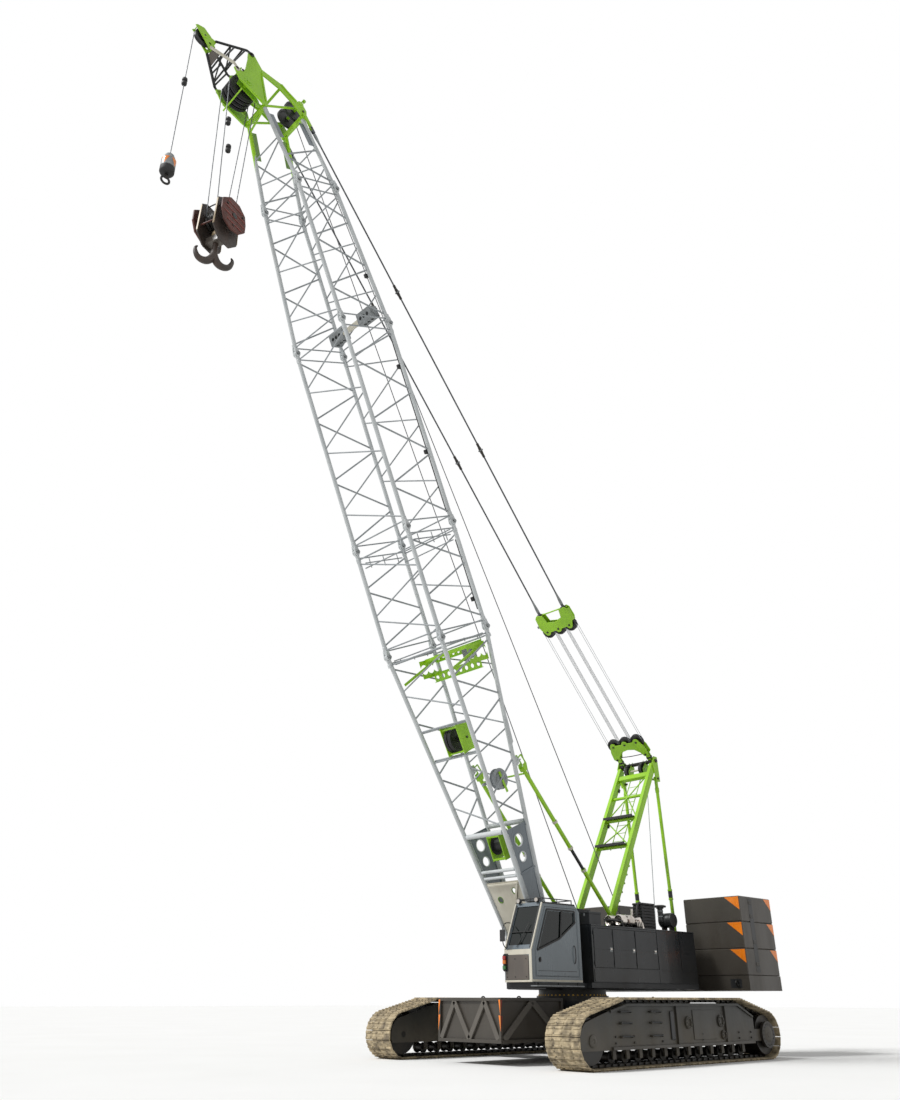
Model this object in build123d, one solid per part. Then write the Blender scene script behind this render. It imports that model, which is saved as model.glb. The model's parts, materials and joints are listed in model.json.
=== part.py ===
from build123d import *
import math
import os

# Crawler crane with a lattice boom, in millimetres.
# X points forward along the boom, Y to the machine's left and Z up from the ground.
# Everything is placed from the swing axis; shift_x then centres the whole machine on X.

# Undercarriage
track_gauge = 6050
shoe_width = 945
track_height = 1380
wheel_base = 6960
wheel_loop_radius = 550
top_run_half = wheel_base / 2 - 1130
belt_thickness = 110
shoe_count = 76
shoe_gap = 34
shoe_lip = 40
wheel_gap = 0.3
frame_width = 760
frame_bottom = 370
frame_cheek = 30
cover_radius = 405
axle_radius = 70
hub_radius = 300
hub_width = 70
first_roller_inset = 900
bracket_bottom = 190
bracket_half = 55
bracket_width = 40
roller_radius = 120
roller_count = 12
roller_width = 380
carbody_half = 1350
carbody_bottom = 560
carbody_top = 1290
beam_width = 620
beam_x = 950
ring_radius = 930
ring_height = 130
ring_wall = 150
weight_front_x = 3770
weight_rear_x = 1590
weight_half_width = 1040
weight_bottom = 450
weight_top = 1370
weight_bracket_half = 600
weight_bracket_inset = 200

# Upper structure
deck_bottom = 1560
deck_top = 1800
deck_half_width = 900
deck_front_x = 1750
nose_half_width = 640
deck_rear_x = -4350
side_beam_bottom = 1585
housing_bottom = 1700
housing_top = 3000
housing_inner_y = 980
housing_outer_y = 1683
housing_front_x = 1160
housing_rear_x = -3310
panel = 40
right_front_x = 700
door_edges = (1100, 330, -600, -1530)
door_gap = 8
door_bottom = 2030
door_top = 2930
door_depth = 36
hinge_radius = 12
barrel_length = 90

# Roof equipment
silencer_x = -775
silencer_y = (1060, 1385)
silencer_length = 850
silencer_radius = 140
filter_x = -2710
filter_inner_y = 1080
filter_outer_y = 1500
filter_radius = 190

# Cab
cab_rear_x = 1450
cab_front_x = 3240
cab_left_y = 1567
cab_right_y = 700
cab_bottom = 1690
cab_top = 3430
cab_sill = 2380
cab_brow_x = 2800
cab_back_step = 170
cab_wall = 50
cab_door_rear_x = 1570
cab_door_front_x = 3130
cab_door_bottom = 1810
cab_door_top = 3330
glass = 8
cab_hinge_x = cab_door_rear_x + door_gap
cab_hinge_y = cab_left_y + hinge_radius
cab_hinge_levels = (1990, 3060)
glass_gap = 0.3

# Counterweight
weight_stack_front_x = -3783
weight_stack_rear_x = -5428
weight_stack_half_width = 2951
weight_stack_inner_y = 1150
base_slot_half_width = 960
stack_levels = (1556, 1920, 2584, 3257, 3911)
stack_gap = 0.3
base_slot_rear_x = -4480

# Gantry
gantry_foot_x = -350
gantry_foot_z = 2100
gantry_top_x = -3790
gantry_top_z = 8000
gantry_half_width = 600
gantry_leg_depth = 200
gantry_leg_width = 110
gantry_bars = (3730, 4700, 5540, 6300)  # crossbars, measured up the legs from their foot pins
rear_leg_top_x = -3823
rear_leg_top_z = 7456
rear_leg_foot_x = -4080
rear_leg_foot_z = 2300
rear_leg_radius = 50
gantry_pin_radius = 55
gantry_foot_pin_radius = 40
rear_pin_radius = 32
block_sheave_radius = 215
block_sheave_reach = 790
block_sheave_spacing = 440

# Boom
boom_angle = 65.67
foot_x = 1289
foot_z = 2001
foot_half_width = 461
foot_belly = 80
foot_back = 200
foot_pin_radius = 55
foot_plate = 80
chord_radius = 57
lacing_radius = 24
strut_radius = 20
node_spread = 55
end_post = 175
butt_sheave_ends = (5670, 6530)
foot_length = 900
side_plate_end = 3600
side_plate = 12
butt_holes = ((3252, 0, 150), (2830, 0, 120))
crossbar_radius = 60
belly_bars = (2470, 2635)
belly_bar_radius = 38
edge_web_width = 170
half_width = 1062
half_depth = 894
butt_length = 8690
short_insert = 3000
long_insert = 6000
top_length = 4430
top_half_width = 840
top_half_depth = 700
head_length = 2720
head_half_width = 421
head_half_depth = 690
knuckle_radius = 85
fit_gap = 0.3

# Distances of the boom's joints from its foot
joint_1 = butt_length
joint_2 = joint_1 + short_insert
joint_3 = joint_2 + long_insert
joint_4 = joint_3 + top_length
head_end = joint_4 + head_length

# Head, from the boom's axis
edge_web_run = (head_end - 1090, head_end - 240)
cheek_middle = 505
head_plate = 40
head_beam = 110
head_tie_radius = 40
main_sheave_s = head_end + 610
main_sheave_a = -1100
main_sheave_radius = 420
main_sheave_count = 4
main_sheave_pitch = 140
main_shaft_radius = 60
rear_sheave_s = head_end + 400
rear_sheave_a = 700
rear_sheave_radius = 330
rear_sheave_y = 180
rear_shaft_radius = 45

# Auxiliary jib
jib_low_pin = (head_end + 950, -1380)
jib_high_pin = (head_end + 1660, -660)
jib_eye_width = 24
jib_pin_radius = 25
jib_shaft_radius = 30
jib_tip_half_width = 110
jib_tip_plate = 20
jib_low_tip = (head_end + 1860, -1750)
jib_high_tip = (head_end + 2140, -1510)
jib_sheave_s = head_end + 2230
jib_sheave_a = -1820
jib_sheave_radius = 270
jib_low_tube = 42
jib_high_tube = 36
jib_strut = 26
jib_arm = 0.18

# Hooks
main_rope_fall = 5070
block_turn = 20
block_sheave_count = 4
hook_sheave_radius = 300
hook_sheave_pitch = 110
hook_sheave_width = 80
hook_pin_radius = 50
hook_plate_y = 270
hook_plate = 30
hook_weight_y = 485
hook_weight = 60
hook_rope_radius = 13
crosshead_drop = hook_sheave_radius + 340
crosshead_half = 110
aux_rope_fall = 5350
hook_turn = -12.5
hook_bowl_reach = 260
hook_bowl_drop = 580
hook_bowl_inner = 120
hook_bowl_outer = 255
hook_thickness = 130
shank_radius = 72
ball_radius = 190
ball_half_height = 330
ball_shoulder = 170

# Pendants and bridle
pendant_s = head_end - 420
pendant_a = 800
pendant_half_width = 560
pendant_radius = 24
pendant_pin_radius = 20
pendant_trim = 150
lug_width = 50
fork_plate = 14
bridle_x = -330
bridle_z = 11720
bridle_sheave_radius = 215
bridle_pendant_reach = 560
bridle_half_width = 480
block_shaft_radius = 40

# Backstops
stop_foot_x = -1800
stop_foot_z = 2300
stop_boom_s = 5100
stop_pin_height = 168
stop_taper = stop_boom_s / butt_length
stop_half_width = foot_half_width + (half_width - foot_half_width) * stop_taper
stop_boom_a = foot_back + (half_depth - foot_back) * stop_taper + stop_pin_height
stop_tube_radius = 55
stop_tube_bore = 44
stop_tube_end = 2980
stop_rod_radius = 38
stop_rod_end = 5150
stop_sleeve_start = 3620
stop_collar_radius = 64
stop_pin_radius = 22
stop_notch = (-150, 60, 100)
stop_fork_inner = 72
stop_fork_outer = 86
stop_fork_rear = -340

cos_boom = math.cos(math.radians(boom_angle))
sin_boom = math.sin(math.radians(boom_angle))
boom_frame = Pos(foot_x, 0, foot_z) * Rot(0, -boom_angle, 0)


def boom_point(s, a):
    """Place in the swing frame of a point s along the boom and a behind its axis."""
    return (foot_x + s * cos_boom - a * sin_boom, foot_z + s * sin_boom + a * cos_boom)


main_sheave_x, main_sheave_z = boom_point(main_sheave_s, main_sheave_a)
jib_sheave_x, jib_sheave_z = boom_point(jib_sheave_s, jib_sheave_a)
pendant_x, pendant_z = boom_point(pendant_s, pendant_a)
stop_boom_x, stop_boom_z = boom_point(stop_boom_s, stop_boom_a)

# The furthest points in front and behind set the middle of the machine.
aux_x = jib_sheave_x + jib_sheave_radius + hook_rope_radius + fit_gap
reach_front = aux_x + ball_radius
reach_rear = weight_stack_rear_x
shift_x = -(reach_front + reach_rear) / 2

nodes = {}
from_low = (Align.CENTER, Align.CENTER, Align.MIN)


def keep(name, *shapes):
    """Add the solids of the shapes to the node of that name."""
    for shape in shapes:
        nodes.setdefault(name, []).extend(shape.solids())


def block(x_low, x_high, y_low, y_high, z_low, z_high):
    size = (x_high - x_low, y_high - y_low, z_high - z_low)
    return Pos(x_low, y_low, z_low) * Box(*size, align=(Align.MIN, Align.MIN, Align.MIN))


def rod(start, end, radius, trim_start=0, trim_end=0):
    """Round bar from start to end, shortened at each end by its trim."""
    first = Vector(*start)
    run = Vector(*end) - first
    direction = run.normalized()
    plane = Plane(origin=first + direction * trim_start, z_dir=direction)
    length = run.length - trim_start - trim_end
    return plane * Cylinder(radius, length, align=from_low)


def cross_rod(x, z, radius, y_low, y_high):
    return rod((x, y_low, z), (x, y_high, z), radius)


def cross_bar(s, a, radius, y_low, y_high):
    """Round bar across the boom, in the boom's own frame."""
    low, high = sorted((y_low, y_high))
    return rod((s, low, a), (s, high, a), radius)


def plate(outline, y_low, y_high):
    """Flat plate that stands in the XZ plane between two values of Y."""
    face = Plane.XZ.offset(-y_high) * make_face(Polyline(*outline, close=True))
    return extrude(face, amount=y_high - y_low)


# Undercarriage
wheel_x = wheel_base / 2
wheel_z = wheel_loop_radius
wheel_rim = wheel_loop_radius - belt_thickness - wheel_gap


def loop_corners(inset):
    """Tangent points of the loop, moved in by inset: circles at the wheels, flats between."""
    radius = wheel_loop_radius - inset
    rise = track_height - inset - wheel_z
    run = wheel_x - top_run_half
    reach = math.hypot(run, rise)
    lean = math.atan2(rise, run)
    tangent = math.acos(radius / reach)
    return radius, math.pi - lean - tangent


def loop_path(inset):
    """Closed wire of the loop: bottom run, wheel arcs, slopes and top run."""
    radius, angle = loop_corners(inset)
    slope_x = wheel_x + radius * math.cos(angle)
    slope_z = wheel_z + radius * math.sin(angle)
    low = wheel_z - radius
    top = track_height - inset
    front_corner = (top_run_half, top)
    rear_corner = (-top_run_half, top)
    edges = [
        Line((-wheel_x, low), (wheel_x, low)),
        ThreePointArc((wheel_x, low), (wheel_x + radius, wheel_z), (slope_x, slope_z)),
        Line((slope_x, slope_z), front_corner),
        Line(front_corner, rear_corner),
        Line(rear_corner, (-slope_x, slope_z)),
        ThreePointArc((-slope_x, slope_z), (-wheel_x - radius, wheel_z), (-wheel_x, low)),
    ]
    return Wire(edges)


def belt():
    """Loop of one track, with each shoe's plate standing out of it by the lip."""
    ring = make_face(loop_path(0)) - make_face(loop_path(belt_thickness))
    path = loop_path(shoe_lip / 2)
    pitch = path.length / shoe_count
    groove = Rectangle(shoe_gap, shoe_lip * 1.05)
    for i in range(shoe_count):
        place = path.location_at((i + 0.5) * pitch / path.length)
        spot = place.position
        heading = path.tangent_at((i + 0.5) * pitch / path.length)
        turn = math.degrees(math.atan2(heading.Y, heading.X))
        ring -= Pos(spot.X, spot.Y) * Rot(0, 0, turn) * groove
    face = Plane.XZ.offset(shoe_width / 2) * ring
    return extrude(face, amount=-shoe_width)


def cover_outline(run):
    """Side cover at the front: round about the idler's axle, flat below."""
    low = -math.asin((wheel_z - frame_bottom) / cover_radius)
    high = math.radians(62)
    steps = [low + (high - low) * i / 12 for i in range(13)]
    arc = [(wheel_x + cover_radius * math.cos(a), wheel_z + cover_radius * math.sin(a)) for a in steps]
    return [(run, frame_bottom), *arc, (run, arc[-1][1] + (wheel_x - run) * 0.33)]


def track_side(side, name):
    centre = side * track_gauge / 2
    keep("track_" + name, Pos(0, centre, 0) * belt())
    half = frame_width / 2
    inner_top = track_height - belt_thickness - 12
    run = wheel_x - 640
    outline = [
        (-run - 90, frame_bottom), (run, frame_bottom), (run, 1120),
        (top_run_half - 110, inner_top), (110 - top_run_half, inner_top), (-run - 90, 930),
    ]
    frame = plate(outline, centre - half, centre + half)
    for cheek in (-1, 1):
        y_mid = centre + cheek * (half - frame_cheek / 2)
        low, high = y_mid - frame_cheek / 2, y_mid + frame_cheek / 2
        frame += plate(cover_outline(run), low, high)
        frame += block(-wheel_x - 60, -run, low, high, wheel_z - 130, wheel_z + 130)
    for end in (-1, 1):
        bore = Cylinder(axle_radius + fit_gap, 2 * half + 10)
        frame -= Pos(end * wheel_x, centre, wheel_z) * Rot(90, 0, 0) * bore
    low_z = belt_thickness + wheel_gap + roller_radius
    first = -wheel_x + first_roller_inset
    step = -2 * first / (roller_count - 1)
    for i in range(roller_count):
        x = first + i * step
        roller = Rot(90, 0, 0) * Cylinder(roller_radius, roller_width)
        keep("track_rollers", Pos(x, centre, low_z) * roller)
        for cheek in (-1, 1):
            y_mid = centre + cheek * (roller_width / 2 + fit_gap + bracket_width / 2)
            low, high = y_mid - bracket_width / 2, y_mid + bracket_width / 2
            frame += block(x - bracket_half, x + bracket_half, low, high, bracket_bottom, frame_bottom + 20)
    keep("track_frame_" + name, frame)
    wheel_width = 2 * (half - 2 * frame_cheek)
    idler = Rot(90, 0, 0) * Cylinder(wheel_rim, wheel_width)
    axle = Rot(90, 0, 0) * Cylinder(axle_radius, 2 * half)
    keep("idler_wheels", Pos(wheel_x, centre, wheel_z) * (idler + axle))
    hub = Rot(90, 0, 0) * Cylinder(hub_radius, hub_width - 2 * fit_gap)
    hub = Pos(0, side * (half + hub_width / 2), 0) * hub
    stub = Pos(0, side * half, 0) * Rot(90, 0, 0) * Cylinder(axle_radius, hub_width)
    keep("drive_sprockets", Pos(-wheel_x, centre, wheel_z) * (idler + axle + hub + stub))


for side, name in ((1, "left"), (-1, "right")):
    track_side(side, name)

frame_inner_y = track_gauge / 2 - frame_width / 2


def carbody():
    centre = block(-carbody_half, carbody_half, -carbody_half, carbody_half, carbody_bottom, carbody_top)
    body = centre
    for x in (-beam_x, beam_x):
        y_end = frame_inner_y - fit_gap
        body += block(x - beam_width / 2, x + beam_width / 2, -y_end, y_end, carbody_bottom, carbody_top - 60)
    return body


keep("carbody", carbody())
ring = Cylinder(ring_radius, ring_height) - Cylinder(ring_radius - ring_wall, ring_height)
keep("slew_ring_lower", Pos(0, 0, carbody_top + fit_gap + ring_height / 2) * ring)

for end, name in ((1, "front"), (-1, "rear")):
    y, z_low, z_high = weight_half_width, weight_bottom, weight_top
    weight = block(weight_rear_x, weight_front_x, -y, y, z_low, z_high)
    low, high = carbody_half + fit_gap, weight_rear_x
    y, z_low, z_high = weight_bracket_half, z_low + weight_bracket_inset, z_high - weight_bracket_inset
    weight += block(low, high, -y, y, z_low, z_high)
    keep("carbody_weight_" + name, weight if end > 0 else mirror(weight, about=Plane.YZ))

# Upper frame
ring_top = carbody_top + fit_gap + ring_height
bearing = Cylinder(ring_radius - 60, deck_bottom - ring_top - 2 * fit_gap)
bearing -= Cylinder(ring_radius - 60 - ring_wall, 400)
bearing_z = (deck_bottom + ring_top) / 2
keep("slew_ring_upper", Pos(0, 0, bearing_z) * bearing)

ear_width = 36
ear_gap = 4


def deck():
    body = block(deck_rear_x, housing_front_x, -deck_half_width, deck_half_width, deck_bottom, deck_top)
    body += block(housing_front_x, deck_front_x, -nose_half_width, nose_half_width, deck_bottom, deck_top)
    outline = [(foot_x - 330, deck_top - 20), (foot_x + 330, deck_top - 20), (foot_x + 110, foot_z + 60),
               (foot_x + 60, foot_z + 120), (foot_x - 60, foot_z + 120), (foot_x - 110, foot_z + 60)]
    for side in (-1, 1):
        for cheek in (-1, 1):
            middle = side * foot_half_width + cheek * (foot_plate / 2 + ear_gap + ear_width / 2)
            body += plate(outline, middle - ear_width / 2, middle + ear_width / 2)
    feet = (
        (gantry_foot_x, gantry_foot_z, gantry_half_width, gantry_leg_width),
        (rear_leg_foot_x, rear_leg_foot_z, gantry_half_width, 60),
        (stop_foot_x, stop_foot_z, stop_half_width, 70),
    )
    for x, z, y, width in feet:
        for side in (-1, 1):
            for cheek in (-1, 1):
                middle = side * y + cheek * (width / 2 + ear_gap + 10)
                body += block(x - 110, x + 110, middle - 10, middle + 10, deck_top - 20, z + 90)
    for x, z, y, radius in (
        (foot_x, foot_z, foot_half_width, foot_pin_radius),
        (gantry_foot_x, gantry_foot_z, gantry_half_width, gantry_foot_pin_radius),
        (rear_leg_foot_x, rear_leg_foot_z, gantry_half_width, rear_pin_radius),
        (stop_foot_x, stop_foot_z, stop_half_width, rear_pin_radius),
    ):
        for side in (-1, 1):
            body -= Pos(x, side * y, z) * Rot(90, 0, 0) * Cylinder(radius + fit_gap / 2, 400)
    return body


keep("upper_frame", deck())

for side in (-1, 1):
    y = side * foot_half_width
    reach = foot_plate / 2 + ear_gap + ear_width + 14
    keep("upper_pins", cross_rod(foot_x, foot_z, foot_pin_radius, y - reach, y + reach))

# Beams that carry the cab and the housings beside the frame
for side in (1, -1):
    low, high = sorted((side * (deck_half_width + fit_gap), side * housing_outer_y))
    front = cab_rear_x - 200 if side > 0 else right_front_x
    beam = block(housing_rear_x, front, low, high, side_beam_bottom, housing_bottom - fit_gap)
    if side > 0:
        low, high = nose_half_width + fit_gap, cab_left_y - 20
        beam += block(front, cab_front_x - 120, low, high, side_beam_bottom, cab_bottom - fit_gap)
    keep("side_frames", beam)

# Housings


def housing():
    """Left engine housing: a box open on its outer side where the doors hang."""
    y_low, y_high = housing_inner_y, housing_outer_y
    outer = block(housing_rear_x, housing_front_x, y_low, y_high, housing_bottom, housing_top)
    outer -= block(
        housing_rear_x + panel, housing_front_x - panel,
        housing_inner_y + panel, housing_outer_y - panel,
        housing_bottom + panel, housing_top - panel,
    )
    for high, low in zip(door_edges, door_edges[1:]):
        y_low, y_high = housing_outer_y - panel - 5, housing_outer_y + 5
        outer -= block(low + 2 * door_gap, high, y_low, y_high, door_bottom, door_top)
    return outer


def housing_hinge(index):
    """Place of a housing door's hinge line, at its front edge just outside the wall."""
    return (door_edges[index] - door_gap, housing_outer_y + hinge_radius)


def hinge_barrel(x, y, z_low, z_high):
    """Upright hinge barrel; its axis is the door's hinge line."""
    return Pos(x, y, z_low) * Cylinder(hinge_radius, z_high - z_low, align=from_low)


def housing_door(index):
    high, low = door_edges[index] - door_gap, door_edges[index + 1] + 3 * door_gap
    z_low, z_high = door_bottom + door_gap, door_top - door_gap
    leaf = block(low, high, housing_outer_y - door_depth, housing_outer_y, z_low, z_high)
    x, y = housing_hinge(index)
    for z in (z_low + 60, z_high - 60 - barrel_length):
        leaf += hinge_barrel(x, y, z, z + barrel_length)
        leaf += block(x - 60, x, housing_outer_y - 5, y, z, z + barrel_length)
    return leaf


keep("housing_left", housing())
y_low, y_high = -housing_outer_y, -housing_inner_y
keep("housing_right", block(housing_rear_x, right_front_x, y_low, y_high, housing_bottom, housing_top))
for i in range(len(door_edges) - 1):
    keep(f"housing_door_{i + 1}", housing_door(i))

keep("engine_block", block(-2600, -1000, 1060, 1600, housing_bottom + panel + fit_gap, 2750))

# Equipment on the left housing's roof
roof = housing_top + fit_gap
for y in silencer_y:
    drum = Pos(silencer_x, y, roof + 190) * Rot(0, 90, 0) * Cylinder(silencer_radius, silencer_length)
    for end in (-1, 1):
        x = silencer_x + end * (silencer_length / 2 - 120)
        drum += block(x - 30, x + 30, y - 60, y + 60, roof, roof + 120)
    keep("silencers", drum)
filter_z = roof + 300
canister = rod((filter_x, filter_inner_y, filter_z), (filter_x, filter_outer_y, filter_z), filter_radius)
for y in (filter_inner_y + 90, filter_outer_y - 90):
    canister += block(filter_x - 110, filter_x + 110, y - 20, y + 20, roof, filter_z)
intake_x, intake_y = filter_x + 180, filter_inner_y + 120
canister += Pos(intake_x, intake_y, filter_z) * Cylinder(75, 340, align=from_low)
canister += Pos(intake_x, intake_y, filter_z + 325) * Cylinder(175, 70, align=from_low)
canister += block(filter_x, intake_x, intake_y - 60, intake_y + 60, filter_z - 60, filter_z + 60)
keep("air_filter", canister)
keep("roof_boxes", block(-1980, -1400, 1080, 1430, roof, roof + 680))

# Winches
winches = (
    ("main_winch", 420, 2180, 250, 760),
    ("second_winch", -1250, 2200, 250, 760),
    ("boom_winch", -2700, 2180, 220, 700),
)
for name, x, z, radius, width in winches:
    drum = Cylinder(radius, width)
    for cheek in (-1, 1):
        drum += Pos(0, 0, cheek * width / 2) * Cylinder(radius + 70, 30)
    drum = Pos(x, 0, z) * Rot(90, 0, 0) * drum
    for cheek in (-1, 1):
        y = cheek * (width / 2 + 50)
        drum += block(x - 160, x + 160, y - 16, y + 16, deck_top + fit_gap, z + 120)
        drum += Pos(x, cheek * (width / 2 + 20), z) * Rot(90, 0, 0) * Cylinder(80, 60)
    keep("winches", drum)

# Cab


def cab_outline(inset):
    return [
        (cab_rear_x + inset, cab_bottom + inset),
        (cab_front_x - inset, cab_bottom + inset),
        (cab_front_x - inset, cab_sill - inset * 0.2),
        (cab_brow_x - inset, cab_top - inset),
        (cab_rear_x + cab_back_step, cab_top - inset),
        (cab_rear_x + inset, cab_top - cab_back_step),
    ]


def cab_shell():
    body = plate(cab_outline(0), cab_right_y, cab_left_y)
    body -= plate(cab_outline(cab_wall), cab_right_y + cab_wall, cab_left_y - cab_wall)
    door_cut = cab_door_outline(0)
    body -= plate(door_cut, cab_left_y - cab_wall - 5, cab_left_y + 5)
    for pane in cab_panes(0):
        body -= pane
    return body


def cab_door_outline(inset):
    lean = (cab_front_x - cab_brow_x) / (cab_top - cab_sill)
    top_x = cab_door_front_x - lean * (cab_door_top - cab_sill)
    return [
        (cab_door_rear_x + inset, cab_door_bottom + inset),
        (cab_door_front_x - inset, cab_door_bottom + inset),
        (cab_door_front_x - inset, cab_sill - inset * 0.2),
        (top_x - inset, cab_door_top - inset),
        (cab_door_rear_x + inset, cab_door_top - inset),
    ]


def cab_panes(shrink):
    """Window openings of the fixed cab, or their panes when shrunk to fit."""
    deep = cab_wall + 20 if shrink == 0 else glass
    panes = []
    lean = math.degrees(math.atan2(cab_front_x - cab_brow_x, cab_top - cab_sill))
    slope = math.hypot(cab_front_x - cab_brow_x, cab_top - cab_sill)
    mid_x = (cab_front_x + cab_brow_x) / 2 - cab_wall / 2
    mid_z = (cab_top + cab_sill) / 2
    mid_y = (cab_left_y + cab_right_y) / 2
    width = cab_left_y - cab_right_y - 2 * 90
    wind = Box(deep, width - 2 * shrink, slope - 200 - 2 * shrink)
    panes.append(Pos(mid_x, mid_y, mid_z) * Rot(0, -lean, 0) * wind)
    rear = Box(deep, width - 2 * shrink, 800 - 2 * shrink)
    panes.append(Pos(cab_rear_x + cab_wall / 2, mid_y, 2750) * rear)
    side = Box(1000 - 2 * shrink, deep, 850 - 2 * shrink)
    panes.append(Pos(2200, cab_right_y + cab_wall / 2, 2770) * side)
    roof_pane = Box(600 - 2 * shrink, 500 - 2 * shrink, deep)
    panes.append(Pos(2250, mid_y, cab_top - cab_wall / 2) * roof_pane)
    return panes


keep("cab_shell", cab_shell())
for pane in cab_panes(glass_gap):
    keep("cab_glass", pane)


def door_window(inset):
    return [
        (cab_door_rear_x + 90 + inset, 2560 + inset),
        (cab_door_front_x - 110 - inset, 2330 + inset),
        (cab_door_front_x - 500 - inset, cab_door_top - 90 - inset),
        (cab_door_rear_x + 90 + inset, cab_door_top - 90 - inset),
    ]


cab_door_depth = 45
door_leaf = plate(cab_door_outline(door_gap), cab_left_y - cab_door_depth, cab_left_y)
door_leaf -= plate(door_window(0), cab_left_y - cab_door_depth - 5, cab_left_y + 5)
for z in cab_hinge_levels:
    door_leaf += hinge_barrel(cab_hinge_x, cab_hinge_y, z, z + barrel_length)
    door_leaf += block(cab_hinge_x, cab_hinge_x + 60, cab_left_y - 5, cab_hinge_y, z, z + barrel_length)
keep("cab_door", door_leaf)
pane_y = cab_left_y - cab_door_depth / 2
keep("cab_door_glass", plate(door_window(glass_gap), pane_y - glass / 2, pane_y + glass / 2))

seat_x, seat_y = 2050, 1130
floor_z = cab_bottom + cab_wall
seat = block(seat_x - 230, seat_x + 230, seat_y - 220, seat_y + 220, floor_z + fit_gap, floor_z + 420)
seat += block(seat_x - 330, seat_x - 190, seat_y - 220, seat_y + 220, floor_z + 300, floor_z + 1050)
keep("cab_seat", seat)
for y in (seat_y - 320, seat_y + 320):
    console = block(seat_x - 150, seat_x + 350, y - 60, y + 60, floor_z + fit_gap, floor_z + 600)
    console += Pos(seat_x + 260, y, floor_z + 680) * Cylinder(18, 160)
    keep("cab_seat", console)

# Counterweight
base = block(
    weight_stack_rear_x, weight_stack_front_x, -weight_stack_half_width, weight_stack_half_width,
    stack_levels[0], stack_levels[1],
)
base -= block(base_slot_rear_x, 0, -base_slot_half_width, base_slot_half_width, 0, 3000)
base += block(base_slot_rear_x, deck_rear_x - fit_gap, -400, 400, 1600, 1780)
keep("counterweight_base", base)
for side in (1, -1):
    for low, high in zip(stack_levels[1:-1], stack_levels[2:]):
        y_low, y_high = sorted((side * weight_stack_inner_y, side * weight_stack_half_width))
        slab = block(weight_stack_rear_x, weight_stack_front_x, y_low, y_high, low + stack_gap, high)
        keep("counterweight_slabs", slab)

# Gantry
front_leg = (Vector(gantry_foot_x, 0, gantry_foot_z), Vector(gantry_top_x, 0, gantry_top_z))
leg_run = front_leg[1] - front_leg[0]
leg_tilt = math.degrees(math.atan2(leg_run.Z, leg_run.X))
leg_frame = Pos(gantry_foot_x, 0, gantry_foot_z) * Rot(0, -leg_tilt, 0)

legs = None
for side in (-1, 1):
    y = side * gantry_half_width
    leg = Pos(leg_run.length / 2 - 150, y, 0) * Box(leg_run.length, gantry_leg_width, gantry_leg_depth)
    leg += Pos(0, y, 0) * Rot(90, 0, 0) * Cylinder(100, gantry_leg_width)
    leg -= Pos(0, y, 0) * Rot(90, 0, 0) * Cylinder(gantry_foot_pin_radius + fit_gap / 2, 300)
    legs = leg if legs is None else legs + leg
for along in gantry_bars:
    legs += Pos(along, 0, 0) * Rot(90, 0, 0) * Cylinder(45, 2 * gantry_half_width)
keep("gantry_legs", leg_frame * legs)

head_outline = [
    (gantry_top_x + 180, gantry_top_z - 80), (gantry_top_x + 90, gantry_top_z + 130),
    (gantry_top_x - 90, gantry_top_z + 130), (rear_leg_top_x - 110, rear_leg_top_z - 80),
    (rear_leg_top_x + 60, rear_leg_top_z - 110),
]
cheek_y = gantry_half_width + gantry_leg_width / 2 + fit_gap
for side in (-1, 1):
    low, high = sorted((side * cheek_y, side * (cheek_y + 25)))
    cheek = plate(head_outline, low, high)
    cheek -= cross_rod(gantry_top_x, gantry_top_z, gantry_pin_radius + fit_gap / 2, -900, 900)
    cheek -= cross_rod(rear_leg_top_x, rear_leg_top_z, rear_pin_radius + fit_gap / 2, -900, 900)
    keep("gantry_head", cheek)
shaft_reach = cheek_y + 60
keep("upper_pins", cross_rod(gantry_top_x, gantry_top_z, gantry_pin_radius, -shaft_reach, shaft_reach))

rear_run = Vector(rear_leg_top_x - rear_leg_foot_x, 0, rear_leg_top_z - rear_leg_foot_z)
rear_tilt = math.degrees(math.atan2(rear_run.Z, rear_run.X))
rear_frame = Pos(rear_leg_foot_x, 0, rear_leg_foot_z) * Rot(0, -rear_tilt, 0)
for side in (-1, 1):
    y = side * gantry_half_width
    leg = Pos(rear_run.length / 2, y, 0) * Rot(0, 90, 0) * Cylinder(rear_leg_radius, rear_run.length - 340)
    for end, towards in ((0, 1), (rear_run.length, -1)):
        leg += Pos(end, y, 0) * Rot(90, 0, 0) * Cylinder(80, 60)
        leg += Pos(end + towards * 100, y, 0) * Box(200, 60, 90)
    for end in (0, rear_run.length):
        leg -= Pos(end, y, 0) * Rot(90, 0, 0) * Cylinder(rear_pin_radius + fit_gap / 2, 100)
    keep("gantry_rear_legs", rear_frame * leg)

for x, z, radius, y, reach in (
    (gantry_foot_x, gantry_foot_z, gantry_foot_pin_radius, gantry_half_width, gantry_leg_width / 2 + 40),
    (rear_leg_foot_x, rear_leg_foot_z, rear_pin_radius, gantry_half_width, 70),
    (rear_leg_top_x, rear_leg_top_z, rear_pin_radius, gantry_half_width, 110),
    (stop_foot_x, stop_foot_z, rear_pin_radius, stop_half_width, 75),
):
    for side in (-1, 1):
        keep("upper_pins", cross_rod(x, z, radius, side * y - reach, side * y + reach))

# Sheave block that swings on the gantry's shaft, in line with the boom-hoist ropes
block_tilt = math.degrees(math.atan2(bridle_z - gantry_top_z, bridle_x - gantry_top_x))
block_frame = Pos(gantry_top_x, 0, gantry_top_z) * Rot(0, -block_tilt, 0)


def sheave(radius, width, bore):
    ring = Cylinder(radius, width) - Cylinder(bore, width)
    return Rot(90, 0, 0) * ring


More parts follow.
